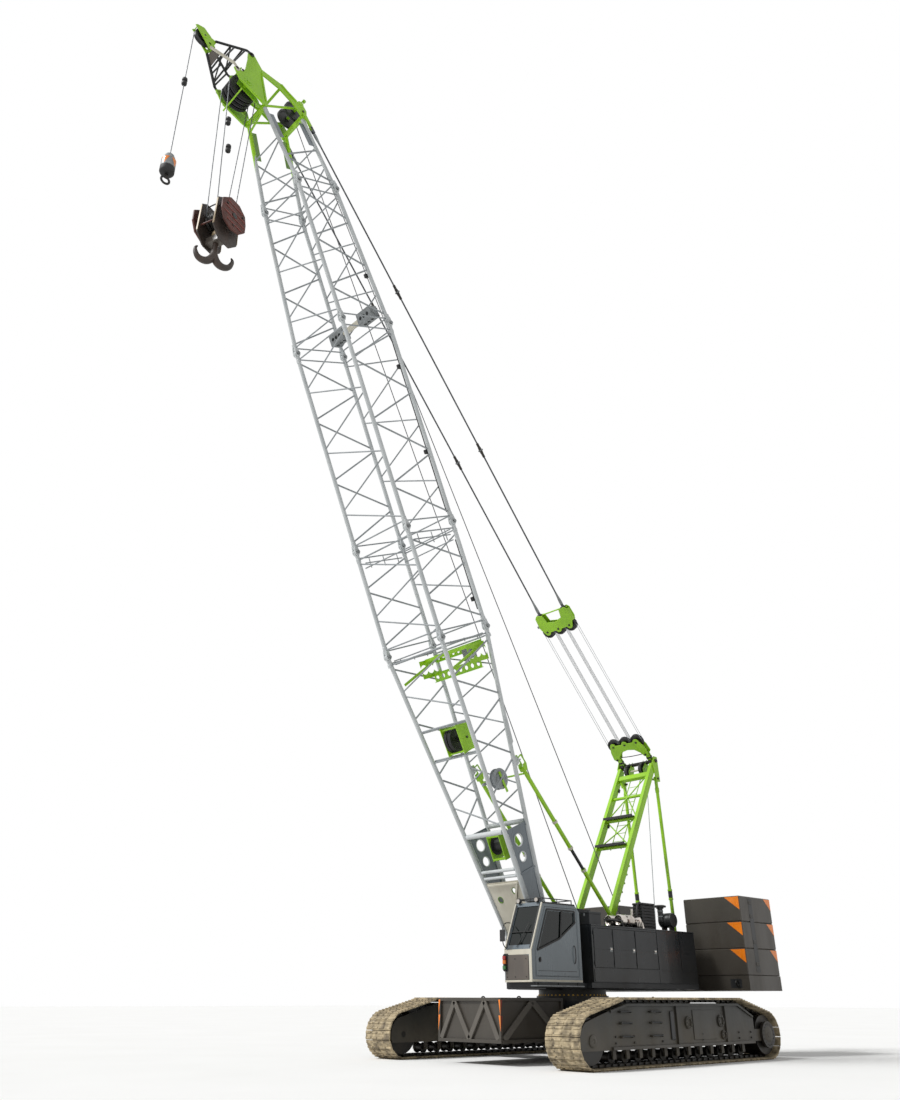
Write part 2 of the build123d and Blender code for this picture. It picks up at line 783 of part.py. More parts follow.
block_edge = 1.5 * block_sheave_spacing  # half the width of both blocks
block_layer = 80  # from the middle of a block to its plates
block_plate = 25
hanger_leg_y = block_edge - 120
sheave_groove = 110


def block_plates(outline):
    """Two plates with the same outline, above and below the sheaves that lie flat between them."""
    shape = make_face(Polyline(*outline, close=True))
    return [Pos(0, 0, z) * extrude(shape, amount=block_plate) for z in (block_layer, -block_layer - block_plate)]


def flat_sheaves(centre, radius):
    for y in (-block_sheave_spacing, 0, block_sheave_spacing):
        yield Pos(centre, y, 0) * (Cylinder(radius, sheave_groove) - Cylinder(block_shaft_radius + fit_gap, sheave_groove))


def block_pins(centre):
    length = 2 * (block_layer + block_plate + 20)
    return [Pos(centre, y, 0) * Cylinder(block_shaft_radius, length) for y in (-block_sheave_spacing, 0, block_sheave_spacing)]


hanger_front = block_sheave_reach + 115
hanger_rear = 280
hanger_outline = [
    (hanger_rear, -block_edge), (hanger_front - 50, -block_edge), (hanger_front, -block_edge + 120),
    (hanger_front, block_edge - 120), (hanger_front - 50, block_edge), (hanger_rear, block_edge),
    (hanger_rear, block_edge - 220), (hanger_rear + 250, 220), (hanger_rear + 250, -220), (hanger_rear, -block_edge + 220),
]
hanger = None
for piece in block_plates(hanger_outline) + block_pins(block_sheave_reach):
    hanger = piece if hanger is None else hanger + piece
for side in (-1, 1):
    y = side * hanger_leg_y
    hanger += Pos(hanger_rear / 2 + 40, y, 0) * Box(hanger_rear + 80, 100, 2 * block_layer)
    hanger += Pos(0, y, 0) * Rot(90, 0, 0) * Cylinder(115, 100)
    hanger -= Pos(0, y, 0) * Rot(90, 0, 0) * Cylinder(gantry_pin_radius + fit_gap, 120)
keep("gantry_block", block_frame * hanger)
for round_sheave in flat_sheaves(block_sheave_reach, block_sheave_radius):
    keep("gantry_block", block_frame * round_sheave)

# Bridle and pendants
bridle_run = Vector(pendant_x - bridle_x, 0, pendant_z - bridle_z)
bridle_tilt = math.degrees(math.atan2(bridle_run.Z, bridle_run.X))
bridle_frame = Pos(bridle_x, 0, bridle_z) * Rot(0, -bridle_tilt, 0)
yoke_rear = -115
yoke_front = bridle_pendant_reach + 60
yoke_outline = [
    (yoke_rear, -block_edge + 120), (yoke_rear + 50, -block_edge), (yoke_front, -block_edge), (yoke_front, -block_edge + 300),
    (yoke_front - 300, -block_edge + 400), (yoke_front - 300, block_edge - 400), (yoke_front, block_edge - 300),
    (yoke_front, block_edge), (yoke_rear + 50, block_edge), (yoke_rear, block_edge - 120),
]
yoke = Pos(bridle_pendant_reach, 0, 0) * Rot(90, 0, 0) * Cylinder(block_shaft_radius, 2 * block_edge - 20)
for piece in block_plates(yoke_outline) + block_pins(0):
    yoke += piece
for side in (-1, 1):
    yoke += Pos(yoke_front / 2 + 100, side * (block_edge - 20), 0) * Box(yoke_front - 200, 30, 2 * block_layer)
keep("bridle", bridle_frame * yoke)
for round_sheave in flat_sheaves(0, bridle_sheave_radius):
    keep("bridle", bridle_frame * round_sheave)

# A pendant rope ends in an eye round the bridle's rear bar and in a fork over the head's lug.
for side in (-1, 1):
    low = (bridle_frame * Pos(bridle_pendant_reach, side * bridle_half_width, 0)).position
    high = Vector(pendant_x, side * pendant_half_width, pendant_z)
    run = high - low
    along = Plane(origin=low, x_dir=run.normalized(), z_dir=run.normalized().cross(Vector(0, 1, 0)))
    reach = run.length
    line = Pos(reach / 2, 0, 0) * Rot(0, 90, 0) * Cylinder(pendant_radius, reach - 2 * pendant_trim)
    eye = Rot(90, 0, 0) * Cylinder(75, lug_width) + Pos(110, 0, 0) * Box(120, lug_width, 80)
    eye -= Rot(90, 0, 0) * Cylinder(block_shaft_radius + fit_gap, 2 * lug_width)
    fork = Pos(reach - 140, 0, 0) * Box(60, lug_width + 2 * fork_plate + 10, 80)
    for cheek in (-1, 1):
        y = cheek * (lug_width / 2 + fork_plate / 2 + 5)
        fork += Pos(reach - 60, y, 0) * Box(200, fork_plate, 80)
    fork += Pos(reach, 0, 0) * Rot(90, 0, 0) * Cylinder(pendant_pin_radius, lug_width + 2 * fork_plate + 30)
    keep("pendants", along * (line + eye + fork))

# Boom
# Distance along the boom, half width, belly depth and back depth of the chords
stations = (
    (0, foot_half_width, foot_belly, foot_back),
    (joint_1, half_width, half_depth, half_depth),
    (joint_3, half_width, half_depth, half_depth),
    (joint_4, top_half_width, top_half_depth, top_half_depth),
    (head_end, head_half_width, head_half_depth, head_half_depth),
)


def chord_at(s, side, face):
    """Axis of a chord at s: side is 1 on the left, face is 1 on the back and -1 on the belly."""
    for low, high in zip(stations, stations[1:]):
        if s <= high[0] or high is stations[-1]:
            part = (s - low[0]) / (high[0] - low[0])
            y, belly, back = (low[i] + (high[i] - low[i]) * part for i in (1, 2, 3))
            return (s, side * y, face * (back if face > 0 else belly))


def lacing_member(low, high, radius):
    """Bar between two chord places (s, side, face), cut clear of both chords."""
    start, end = Vector(*chord_at(*low)), Vector(*chord_at(*high))
    run = (end - start).normalized()
    trims = []
    for s, side, face in (low, high):
        along = (Vector(*chord_at(s + 10, side, face)) - Vector(*chord_at(s - 10, side, face))).normalized()
        slope = abs(run.dot(along))
        rise = math.sqrt(1 - slope * slope)
        trims.append((chord_radius + radius * slope) / rise + fit_gap)
    return boom_frame * rod(tuple(start), tuple(end), radius, *trims)


def lattice(name, s_low, s_high, first, pitch, bare=(), last=None):
    """Four chords and a zigzag on each face, whose nodes come every pitch from the first."""
    low_trim = 3.3 if s_low < joint_1 else knuckle_radius + fit_gap
    lean = math.atan2(top_half_width - head_half_width, head_length)
    head_trim = (head_beam / 2 + fit_gap + chord_radius * math.sin(lean)) / math.cos(lean)
    high_trim = head_trim if s_high == head_end else knuckle_radius + fit_gap
    for side in (-1, 1):
        for face in (-1, 1):
            start, end = chord_at(s_low, side, face), chord_at(s_high, side, face)
            keep(name, boom_frame * rod(start, end, chord_radius, low_trim, high_trim))
    count = int(((last or s_high) - first) // pitch)
    spots = [first + pitch * k for k in range(count + 1)]
    for k, (low, high) in enumerate(zip(spots, spots[1:])):
        turn = 1 if k % 2 == 0 else -1
        low, high = low + node_spread, high - node_spread
        for side in (-1, 1):
            ends = (low, side, side * turn), (high, side, -side * turn)
            keep("boom_lacing", lacing_member(*ends, lacing_radius))
        for face in (-1, 1):
            ends = (low, -face * turn, face), (high, face * turn, face)
            if (face, k) not in bare:
                keep("boom_lacing", lacing_member(*ends, strut_radius))
    ends = [spots[-1] + node_spread] + ([spots[0] - node_spread] if s_low >= joint_1 else [])
    for s in ends:
        for face in (-1, 1):
            keep("boom_lacing", lacing_member((s, -1, face), (s, 1, face), strut_radius))
    posts = [s_high - end_post] if s_high != head_end else []
    posts += [s_low + end_post] if s_low >= joint_1 else []
    for s in posts:
        for side in (-1, 1):
            keep("boom_lacing", lacing_member((s, side, -1), (s, side, 1), strut_radius))


# The butt's belly stays open at its third and fourth bays, where the rope sheaves sit
lattice("boom_butt", foot_length, joint_1, side_plate_end + 100, 785, bare=((-1, 2), (-1, 3)))
lattice("boom_insert_short", joint_1, joint_2, joint_1 + 260, 820)
lattice("boom_insert_long", joint_2, joint_3, joint_2 + 240, 920)
lattice("boom_top", joint_3, joint_4, joint_3 + 250, 785)
lattice("boom_head", joint_4, head_end, joint_4 + 260, 640, last=edge_web_run[0])
for s in butt_sheave_ends:
    keep("boom_lacing", lacing_member((s, -1, -1), (s, 1, -1), strut_radius))
for s in (joint_1, joint_2, joint_3, joint_4):
    for side in (-1, 1):
        for face in (-1, 1):
            keep("boom_joint_pins", boom_frame * Pos(*chord_at(s, side, face)) * Sphere(knuckle_radius))

for side in (-1, 1):
    y = side * foot_half_width
    root = foot_length - fit_gap
    outline = [(0, -150), (root, -foot_belly - 150), (root, foot_back + 140), (0, 150)]
    lug = plate(outline, y - foot_plate / 2, y + foot_plate / 2)
    lug += Pos(0, y, 0) * Rot(90, 0, 0) * Cylinder(150, foot_plate)
    lug -= Pos(0, y, 0) * Rot(90, 0, 0) * Cylinder(foot_pin_radius + fit_gap, foot_plate + 10)
    keep("boom_butt", boom_frame * lug)


def web(side, s_low, s_high, holes=()):
    """Web between the belly and back chords of one side, with round holes (s, a, radius)."""
    corners = [chord_at(s, side, face) for s, face in ((s_low, -1), (s_high, -1), (s_high, 1), (s_low, 1))]
    inset = chord_radius + 0.6
    flare = math.degrees(math.atan2(corners[1][1] - corners[0][1], s_high - s_low))
    stretch = 1 / math.cos(math.radians(flare))
    outline = [((s - s_low) * stretch, a - math.copysign(inset, a)) for s, _, a in corners]
    sheet = plate(outline, -side_plate / 2, side_plate / 2)
    for s, a, radius in holes:
        sheet -= Pos((s - s_low) * stretch, 0, a) * Rot(90, 0, 0) * Cylinder(radius, 2 * side_plate)
    return Pos(s_low, corners[0][1], 0) * Rot(0, 0, flare) * sheet


def edge_web(side, face, s_low, s_high):
    """Narrow web along one chord of the head, on its inner side."""
    inset = math.copysign(chord_radius + 0.6, face)
    low, high = chord_at(s_low, side, face), chord_at(s_high, side, face)
    flare = math.degrees(math.atan2(high[1] - low[1], s_high - s_low))
    length = math.hypot(high[1] - low[1], s_high - s_low)
    outline = [(0, low[2] - inset), (length, high[2] - inset),
               (length, high[2] - inset - face * edge_web_width), (0, low[2] - inset - face * edge_web_width)]
    sheet = plate(outline, -side_plate / 2, side_plate / 2)
    return Pos(s_low, low[1], 0) * Rot(0, 0, flare) * sheet


for side in (-1, 1):
    keep("butt_webs", boom_frame * web(side, foot_length + 20, side_plate_end, butt_holes))
    for face in (-1, 1):
        keep("butt_webs", boom_frame * edge_web(side, face, *edge_web_run))
for face in (-1, 1):
    bar = lacing_member((side_plate_end, -1, face), (side_plate_end, 1, face), crossbar_radius)
    keep("butt_webs", bar)
for s in belly_bars:
    keep("butt_webs", lacing_member((s, -1, -1), (s, 1, -1), belly_bar_radius))

# Head


def from_head(points):
    """Places in the boom's frame of points given from the end of its lattice."""
    return [(head_end + s, a) for s, a in points]


cheek_outline = from_head([
    (-40, -770), (620, -1400), (1000, -1470), (1040, -1310), (920, -1220), (1050, -1070),
    (1460, -860), (1700, -770), (1750, -640), (1660, -560), (1200, -420), (1040, -500), (90, -620),
])
beam_outline = from_head([
    (1240, -440), (1090, -520), (760, 20), (360, 400), (-40, 610), (-40, 790), (210, 870),
    (400, 810), (480, 590), (760, 310), (930, 220), (970, 100),
])
cheek_low = cheek_middle - head_plate / 2
cheek_high = cheek_middle + head_plate / 2
head = None
for side in (-1, 1):
    low, high = sorted((side * cheek_low, side * cheek_high))
    cheek = plate(cheek_outline, low, high) + plate(beam_outline, low, high)
    for s, a in (jib_low_pin, jib_high_pin):
        cheek -= Pos(s, 0, a) * Rot(90, 0, 0) * Cylinder(jib_pin_radius + fit_gap / 2, 2000)
    head = cheek if head is None else head + cheek
for a, reach in ((-head_half_depth, cheek_high), (head_half_depth, pendant_half_width + lug_width / 2)):
    head += Pos(head_end, 0, a) * Box(head_beam, 2 * reach, head_beam)
for s, a, radius, reach in (
    (main_sheave_s, main_sheave_a, main_shaft_radius, cheek_high + 40),
    (rear_sheave_s, rear_sheave_a, rear_shaft_radius, cheek_high + 30),
    (head_end + 800, 100, head_tie_radius, cheek_middle),
    (head_end + 1300, -620, head_tie_radius, cheek_middle),
):
    head += Pos(s, 0, a) * Rot(90, 0, 0) * Cylinder(radius, 2 * reach)
for side in (-1, 1):
    y = side * pendant_half_width
    lug_outline = [
        (head_end + 40, head_half_depth - 40), (head_end + 40, head_half_depth + 55),
        (pendant_s, pendant_a + 70), (pendant_s - 60, pendant_a), (pendant_s, pendant_a - 44),
    ]
    lug = plate(lug_outline, y - lug_width / 2, y + lug_width / 2)
    head += lug - Pos(pendant_s, 0, pendant_a) * Rot(90, 0, 0) * Cylinder(pendant_pin_radius + fit_gap, 2000)
keep("head_cheeks", boom_frame * head)
for i in range(main_sheave_count):
    y = (i - (main_sheave_count - 1) / 2) * main_sheave_pitch
    disc = sheave(main_sheave_radius, 90, main_shaft_radius + fit_gap)
    keep("head_sheaves", boom_frame * Pos(main_sheave_s, y, main_sheave_a) * disc)
for y in (-rear_sheave_y, rear_sheave_y):
    disc = sheave(rear_sheave_radius, 80, rear_shaft_radius + fit_gap)
    keep("head_sheaves", boom_frame * Pos(rear_sheave_s, y, rear_sheave_a) * disc)

# Auxiliary jib: eyes outside the cheeks, four tubes to the tip, bars between them
jib_eye_low = cheek_high + fit_gap
jib_eye_middle = jib_eye_low + jib_eye_width / 2
jib_tubes = (
    (jib_low_pin, jib_low_tip, jib_low_tube),
    (jib_high_pin, jib_high_tip, jib_high_tube),
)


def jib_point(row, side, part):
    """Place on one of the jib's tubes, a part of the way from its pin to the tip."""
    (s_pin, a_pin), (s_tip, a_tip), _ = row
    y = jib_eye_middle + (jib_tip_half_width - jib_eye_middle) * max(0, part - jib_arm) / (1 - jib_arm)
    return (s_pin + (s_tip - s_pin) * part, side * y, a_pin + (a_tip - a_pin) * part)


tip_outline = from_head([
    (1800, -1810), (2530, -2040), (2560, -1960), (2510, -1750), (2220, -1600), (2135, -1460),
    (1860, -1680),
])
jib = None
for side in (-1, 1):
    low, high = sorted((side * (jib_tip_half_width - jib_tip_plate), side * jib_tip_half_width))
    half = plate(tip_outline, low, high)
    for row in jib_tubes:
        (s_pin, a_pin), _, radius = row
        start, end = jib_point(row, side, jib_arm), jib_point(row, side, 1)
        half += rod(start, end, radius)
        eye = Pos(s_pin, side * jib_eye_middle, a_pin) * Rot(90, 0, 0) * Cylinder(70, jib_eye_width)
        arm_x, arm_z = start[0] - s_pin, start[2] - a_pin
        arm = Box(math.hypot(arm_x, arm_z) + 20, jib_eye_width, 90)
        turn = -math.degrees(math.atan2(arm_z, arm_x))
        eye += Pos(s_pin + arm_x / 2, start[1], a_pin + arm_z / 2) * Rot(0, turn, 0) * arm
        reach = side * (jib_eye_middle - head_plate)
        half += eye + cross_bar(s_pin, a_pin, jib_pin_radius, reach, side * (jib_eye_middle + 40))
    for part in (0.22, 0.5):
        half += rod(jib_point(jib_tubes[0], side, part), jib_point(jib_tubes[1], side, part), jib_strut)
    jib = half if jib is None else jib + half
for row in jib_tubes:
    along = (Vector(*jib_point(row, 1, 1)) - Vector(*jib_point(row, 1, jib_arm))).normalized()
    trim = (row[2] + jib_strut * abs(along.Y)) / math.sqrt(1 - along.Y * along.Y) + fit_gap
    for part in (0.29, 0.6):
        start, end = jib_point(row, -1, part), jib_point(row, 1, part)
        keep("aux_jib", boom_frame * rod(start, end, jib_strut, trim, trim))
jib_shaft = Cylinder(jib_shaft_radius, 2 * jib_tip_half_width + 40)
jib += Pos(jib_sheave_s, 0, jib_sheave_a) * Rot(90, 0, 0) * jib_shaft
# Flat plate between the two lower tubes, next to the tip
shelf = [jib_point(jib_tubes[0], side, part) for side, part in ((-1, 0.66), (1, 0.66), (1, 0.92), (-1, 0.92))]
shelf_face = make_face(Polyline(*shelf, close=True))
keep("aux_jib", boom_frame * (jib + extrude(shelf_face, amount=12)))
disc = sheave(jib_sheave_radius, 110, jib_shaft_radius + fit_gap)
keep("head_sheaves", boom_frame * Pos(jib_sheave_s, 0, jib_sheave_a) * disc)

# Backstops: tubes hinged on the upper frame, and sleeves over them that end in forks at the boom
stop_run = Vector(stop_boom_x - stop_foot_x, 0, stop_boom_z - stop_foot_z)
stop_tilt = math.degrees(math.atan2(stop_run.Z, stop_run.X))
stop_frame = Pos(stop_foot_x, 0, stop_foot_z) * Rot(0, -stop_tilt, 0)
stop_length = stop_run.length
stop_tie_low = 900
stop_tie_high = 420


def round_bar(start, end, radius, y):
    """Round bar along local X."""
    return rod((start, y, 0), (end, y, 0), radius)


# The fork's notch is open towards the boom, and longer than the pin by the play of the two linear motions
notch_rear, notch_front, notch_top = stop_notch
fork_outline = [
    (stop_fork_rear, -50), (notch_rear - 50, -50), (notch_rear - 40, -25), (notch_rear, -25),
    (notch_rear, notch_top), (notch_front, notch_top), (notch_front, -25), (notch_front + 35, -25),
    (notch_front + 35, notch_top + 10), (notch_front + 10, notch_top + 38),
    (notch_rear - 50, notch_top + 38), (stop_fork_rear, 60),
]
tubes = None
sleeves = None
for side in (-1, 1):
    y = side * stop_half_width
    tube = round_bar(210, stop_tube_end, stop_tube_radius, y)
    tube += round_bar(stop_tube_end - 60, stop_tube_end, stop_collar_radius, y)
    tube += round_bar(stop_tube_end - 100, stop_rod_end, stop_rod_radius, y)
    tube += Pos(0, y, 0) * Rot(90, 0, 0) * Cylinder(90, 70)
    tube += Pos(120, y, 0) * Box(240, 70, 100)
    tube -= Pos(0, y, 0) * Rot(90, 0, 0) * Cylinder(rear_pin_radius + fit_gap, 200)
    tubes = tube if tubes is None else tubes + tube
    sleeve = round_bar(stop_sleeve_start, stop_length - 330, stop_tube_radius, y)
    sleeve += round_bar(stop_sleeve_start, stop_sleeve_start + 60, stop_collar_radius, y)
    sleeve -= round_bar(stop_sleeve_start - 10, stop_length - 430, stop_tube_bore, y)
    sleeve += Pos(stop_length + stop_fork_rear + 40, y, 0) * Box(80, 2 * stop_fork_outer, 110)
    for cheek in (-1, 1):
        middle = y + cheek * (stop_fork_inner + stop_fork_outer) / 2
        half = (stop_fork_outer - stop_fork_inner) / 2
        sleeve += Pos(stop_length, 0, 0) * plate(fork_outline, middle - half, middle + half)
    sleeves = sleeve if sleeves is None else sleeves + sleeve
    seats = [(s, chord_at(s, side, 1)[2] + chord_radius + 1) for s in (stop_boom_s - 150, stop_boom_s + 150)]
    ear_top = [(stop_boom_s + half, stop_boom_a + 45) for half in (50, -50)]
    ear = plate([*seats, *ear_top], y - 12, y + 12)
    ear += cross_bar(stop_boom_s, stop_boom_a, stop_pin_radius, y - 92, y + 92)
    keep("backstop_ears", boom_frame * ear)
tie_reach = stop_half_width - stop_tube_radius + 20
tubes += Pos(stop_tie_low, 0, 0) * Rot(90, 0, 0) * Cylinder(28, 2 * tie_reach)
keep("backstop_tubes", stop_frame * tubes)
sleeves += Pos(stop_length - stop_tie_high, 0, 0) * Rot(90, 0, 0) * Cylinder(24, 2 * tie_reach)
keep("backstop_rods", stop_frame * sleeves)

# Hooks: the block hangs a little turned, as its ropes twist
block_z = main_sheave_z - main_rope_fall
block_place = Pos(main_sheave_x, 0, block_z) * Rot(0, 0, block_turn)
rope_gap = hook_rope_radius + 0.9
rope_reach = main_sheave_radius + rope_gap
for i in range(block_sheave_count):
    step = i - (block_sheave_count - 1) / 2
    disc = sheave(hook_sheave_radius, hook_sheave_width, hook_pin_radius + fit_gap)
    keep("hook_block_sheaves", block_place * Pos(0, step * hook_sheave_pitch, 0) * disc)
    if i not in (0, block_sheave_count - 1):
        continue
    for front in (-1, 1):
        reach = front * (hook_sheave_radius + rope_gap)
        low = (block_place * Pos(reach, step * hook_sheave_pitch, 0)).position
        high = (main_sheave_x + front * rope_reach, step * main_sheave_pitch, main_sheave_z)
        keep("main_hoist_ropes", rod(tuple(low), high, hook_rope_radius))
main_plate = [
    (-430, 420), (-250, 560), (250, 560), (430, 420), (460, -560),
    (180, -crosshead_drop - 220), (-180, -crosshead_drop - 220), (-460, -560),
]
side_weight = [
    (-470, 60), (-400, 330), (-150, 500), (200, 500), (470, 260),
    (470, -80), (330, -380), (60, -500), (-260, -420), (-470, -180),
]
block_body = Rot(90, 0, 0) * Cylinder(hook_pin_radius, 2 * hook_weight_y + 60)
for outline, y, thick in ((main_plate, hook_plate_y, hook_plate), (side_weight, hook_weight_y, hook_weight)):
    for side in (-1, 1):
        middle = side * y
        block_body += plate(outline, middle - thick / 2, middle + thick / 2)
spacer = (hook_weight_y + hook_plate_y) / 2
for side in (-1, 1):
    for x, z in ((-300, 200), (300, 200), (0, -320)):
        block_body += Pos(x, side * spacer, z) * Rot(90, 0, 0) * Cylinder(40, hook_weight_y - hook_plate_y)
for x, z in ((200, 500), (-200, 500)):
    block_body += Pos(x, 0, z) * Rot(90, 0, 0) * Cylinder(18, 2 * hook_plate_y)
crosshead_z = block_z - crosshead_drop
low, high = -crosshead_drop - crosshead_half, -crosshead_drop + crosshead_half
block_body += block(-130, 130, -hook_plate_y, hook_plate_y, low, high)
block_body -= Pos(0, 0, -crosshead_drop) * Cylinder(shank_radius + fit_gap, 300)
keep("hook_block", block_place * block_body)

bowl_z = crosshead_z - hook_bowl_drop
hook_place = Pos(main_sheave_x, 0, bowl_z) * Rot(0, 0, hook_turn)
nut_low = hook_bowl_drop + crosshead_half + fit_gap
hook = Cylinder(shank_radius, nut_low + 20, align=from_low)
hook += Pos(0, 0, nut_low) * Cylinder(130, 120, align=from_low)
hook += Pos(0, 0, nut_low + 120) * Cone(130, 80, 90, align=from_low)
half = hook_thickness / 2
for end in (-1, 1):
    bowl = Cylinder(hook_bowl_outer, hook_thickness) - Cylinder(hook_bowl_inner, hook_thickness)
    bowl = Pos(end * hook_bowl_reach, 0, 0) * Rot(90, 0, 0) * bowl
    hook += bowl - block(-700, 700, -200, 200, 0, 400)
    middle = end * (hook_bowl_reach + (hook_bowl_inner + hook_bowl_outer) / 2)
    horn = [(middle - 67, -5), (middle + 67, -5), (middle + end * 10 + 25, 110), (middle - end * 30, 190),
            (middle + end * 10 - 60, 90)]
    hook += plate(horn, -half + 15, half - 15)
root = [(-150, -160), (150, -160), (120, 0), (75, 240), (-75, 240), (-120, 0)]
hook += plate(root, -half, half)
keep("main_hook", hook_place * hook)

ball_z = jib_sheave_z - aux_rope_fall
keep("aux_hoist_rope", rod((aux_x, 0, ball_z + ball_half_height), (aux_x, 0, jib_sheave_z), hook_rope_radius))
ball = Pos(aux_x, 0, ball_z - ball_half_height) * Cylinder(
    ball_radius, 2 * ball_half_height - ball_shoulder, align=from_low)
ball += Pos(aux_x, 0, ball_z + ball_half_height - ball_shoulder - 0.5) * Cone(
    ball_radius, 0.62 * ball_radius, ball_shoulder, align=from_low)
keep("aux_ball", ball)
ring_z = ball_z - ball_half_height - 210
aux_hook = Pos(aux_x, 0, ball_z - ball_half_height - fit_gap - 60) * Cylinder(45, 120)
aux_hook += Pos(aux_x, 0, ring_z) * Rot(90, 0, 0) * (Cylinder(140, 60) - Cylinder(80, 60))
keep("aux_hook", aux_hook)


# Output
if __name__ == "__main__":
    os.makedirs("parts", exist_ok=True)
    for name, solids in nodes.items():
        placed = [Pos(shift_x, 0, 0) * solid for solid in solids]
        shape = Compound(children=placed) if len(placed) > 1 else placed[0]
        export_step(shape, f"parts/{name}.step")
    print(len(nodes), "nodes; shift_x", round(shift_x, 2))
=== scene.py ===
import json
import math

import bpy
from mathutils import Matrix, Vector


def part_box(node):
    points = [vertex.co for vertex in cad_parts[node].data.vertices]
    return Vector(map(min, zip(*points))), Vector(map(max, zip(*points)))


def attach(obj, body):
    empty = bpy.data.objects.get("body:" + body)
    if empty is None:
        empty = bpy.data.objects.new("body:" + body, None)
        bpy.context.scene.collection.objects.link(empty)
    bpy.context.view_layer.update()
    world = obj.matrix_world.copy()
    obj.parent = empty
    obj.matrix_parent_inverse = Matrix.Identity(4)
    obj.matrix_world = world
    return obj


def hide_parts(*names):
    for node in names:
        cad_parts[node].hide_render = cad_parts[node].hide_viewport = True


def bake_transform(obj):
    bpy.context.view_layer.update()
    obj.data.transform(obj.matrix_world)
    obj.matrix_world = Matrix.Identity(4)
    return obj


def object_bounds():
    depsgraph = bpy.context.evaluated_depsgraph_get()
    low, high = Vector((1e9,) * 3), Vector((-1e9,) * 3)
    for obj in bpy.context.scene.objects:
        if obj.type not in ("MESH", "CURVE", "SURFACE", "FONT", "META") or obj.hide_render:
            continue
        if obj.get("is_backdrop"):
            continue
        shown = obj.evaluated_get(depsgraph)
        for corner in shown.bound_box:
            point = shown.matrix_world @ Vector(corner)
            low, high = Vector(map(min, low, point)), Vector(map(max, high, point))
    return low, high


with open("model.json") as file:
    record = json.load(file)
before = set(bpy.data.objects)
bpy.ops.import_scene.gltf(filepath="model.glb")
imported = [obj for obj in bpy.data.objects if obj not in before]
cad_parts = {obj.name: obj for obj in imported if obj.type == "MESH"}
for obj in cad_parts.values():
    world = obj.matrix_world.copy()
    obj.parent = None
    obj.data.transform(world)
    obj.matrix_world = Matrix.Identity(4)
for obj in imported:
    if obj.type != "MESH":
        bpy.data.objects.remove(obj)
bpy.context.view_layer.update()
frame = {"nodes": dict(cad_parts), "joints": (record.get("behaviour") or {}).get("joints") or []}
joints = {joint["name"]: joint for joint in frame["joints"]}
slewX = joints["slew"]["pos_m"][0]
boomFoot = Vector(joints["boom_luff"]["pos_m"])
boomAngle = math.radians(65.67)
print("frame loaded")

# Swing frame: X forward from the slewing axis. Boom frame: X along the boom, Z towards its back.
upperFrame = Matrix.Translation((slewX, 0, 0))
boomFrame = Matrix.Translation(boomFoot) @ Matrix.Rotation(-boomAngle, 4, "Y")
# Turns a shape spun about Y so that its axis stands up
upright = Matrix.Rotation(math.pi / 2, 4, "X")


def linear(hexColour):
    parts = [int(hexColour[i:i + 2], 16) / 255 for i in (0, 2, 4)]
    return [c / 12.92 if c < 0.04045 else ((c + 0.055) / 1.055) ** 2.4 for c in parts] + [1]


def addNode(tree, kind, settings=None, links=None):
    node = tree.nodes.new("ShaderNode" + kind)
    for key, value in (settings or {}).items():
        if isinstance(key, str) and hasattr(node, key):
            setattr(node, key, value)
        else:
            node.inputs[key].default_value = value
    for key, socket in (links or {}).items():
        tree.links.new(socket, node.inputs[key])
    return node


def newMaterial(name, settings):
    material = bpy.data.materials.new(name)
    material.use_nodes = True
    tree = material.node_tree
    shader = tree.nodes["Principled BSDF"]
    for key, value in settings.items():
        shader.inputs[key].default_value = value
    return material, tree, shader, addNode(tree, "TexCoord").outputs["Object"]


def noise(tree, spot, scale, detail, rough=0.5):
    return addNode(tree, "TexNoise", {"Scale": scale, "Detail": detail, "Roughness": rough},
        {"Vector": spot}).outputs[0]


def ranged(tree, value, low, high, top=1, bottom=0):
    # value between low and high comes out between bottom and top
    return addNode(tree, "MapRange", {"From Min": low, "From Max": high, "To Min": bottom, "To Max": top},
        {"Value": value}).outputs[0]


def tinted(tree, amount, colour, hexColour):
    # colour runs into the second one as the amount rises
    return addNode(tree, "Mix", {"data_type": "RGBA", 7: linear(hexColour)}, {0: amount, 6: colour}).outputs[2]


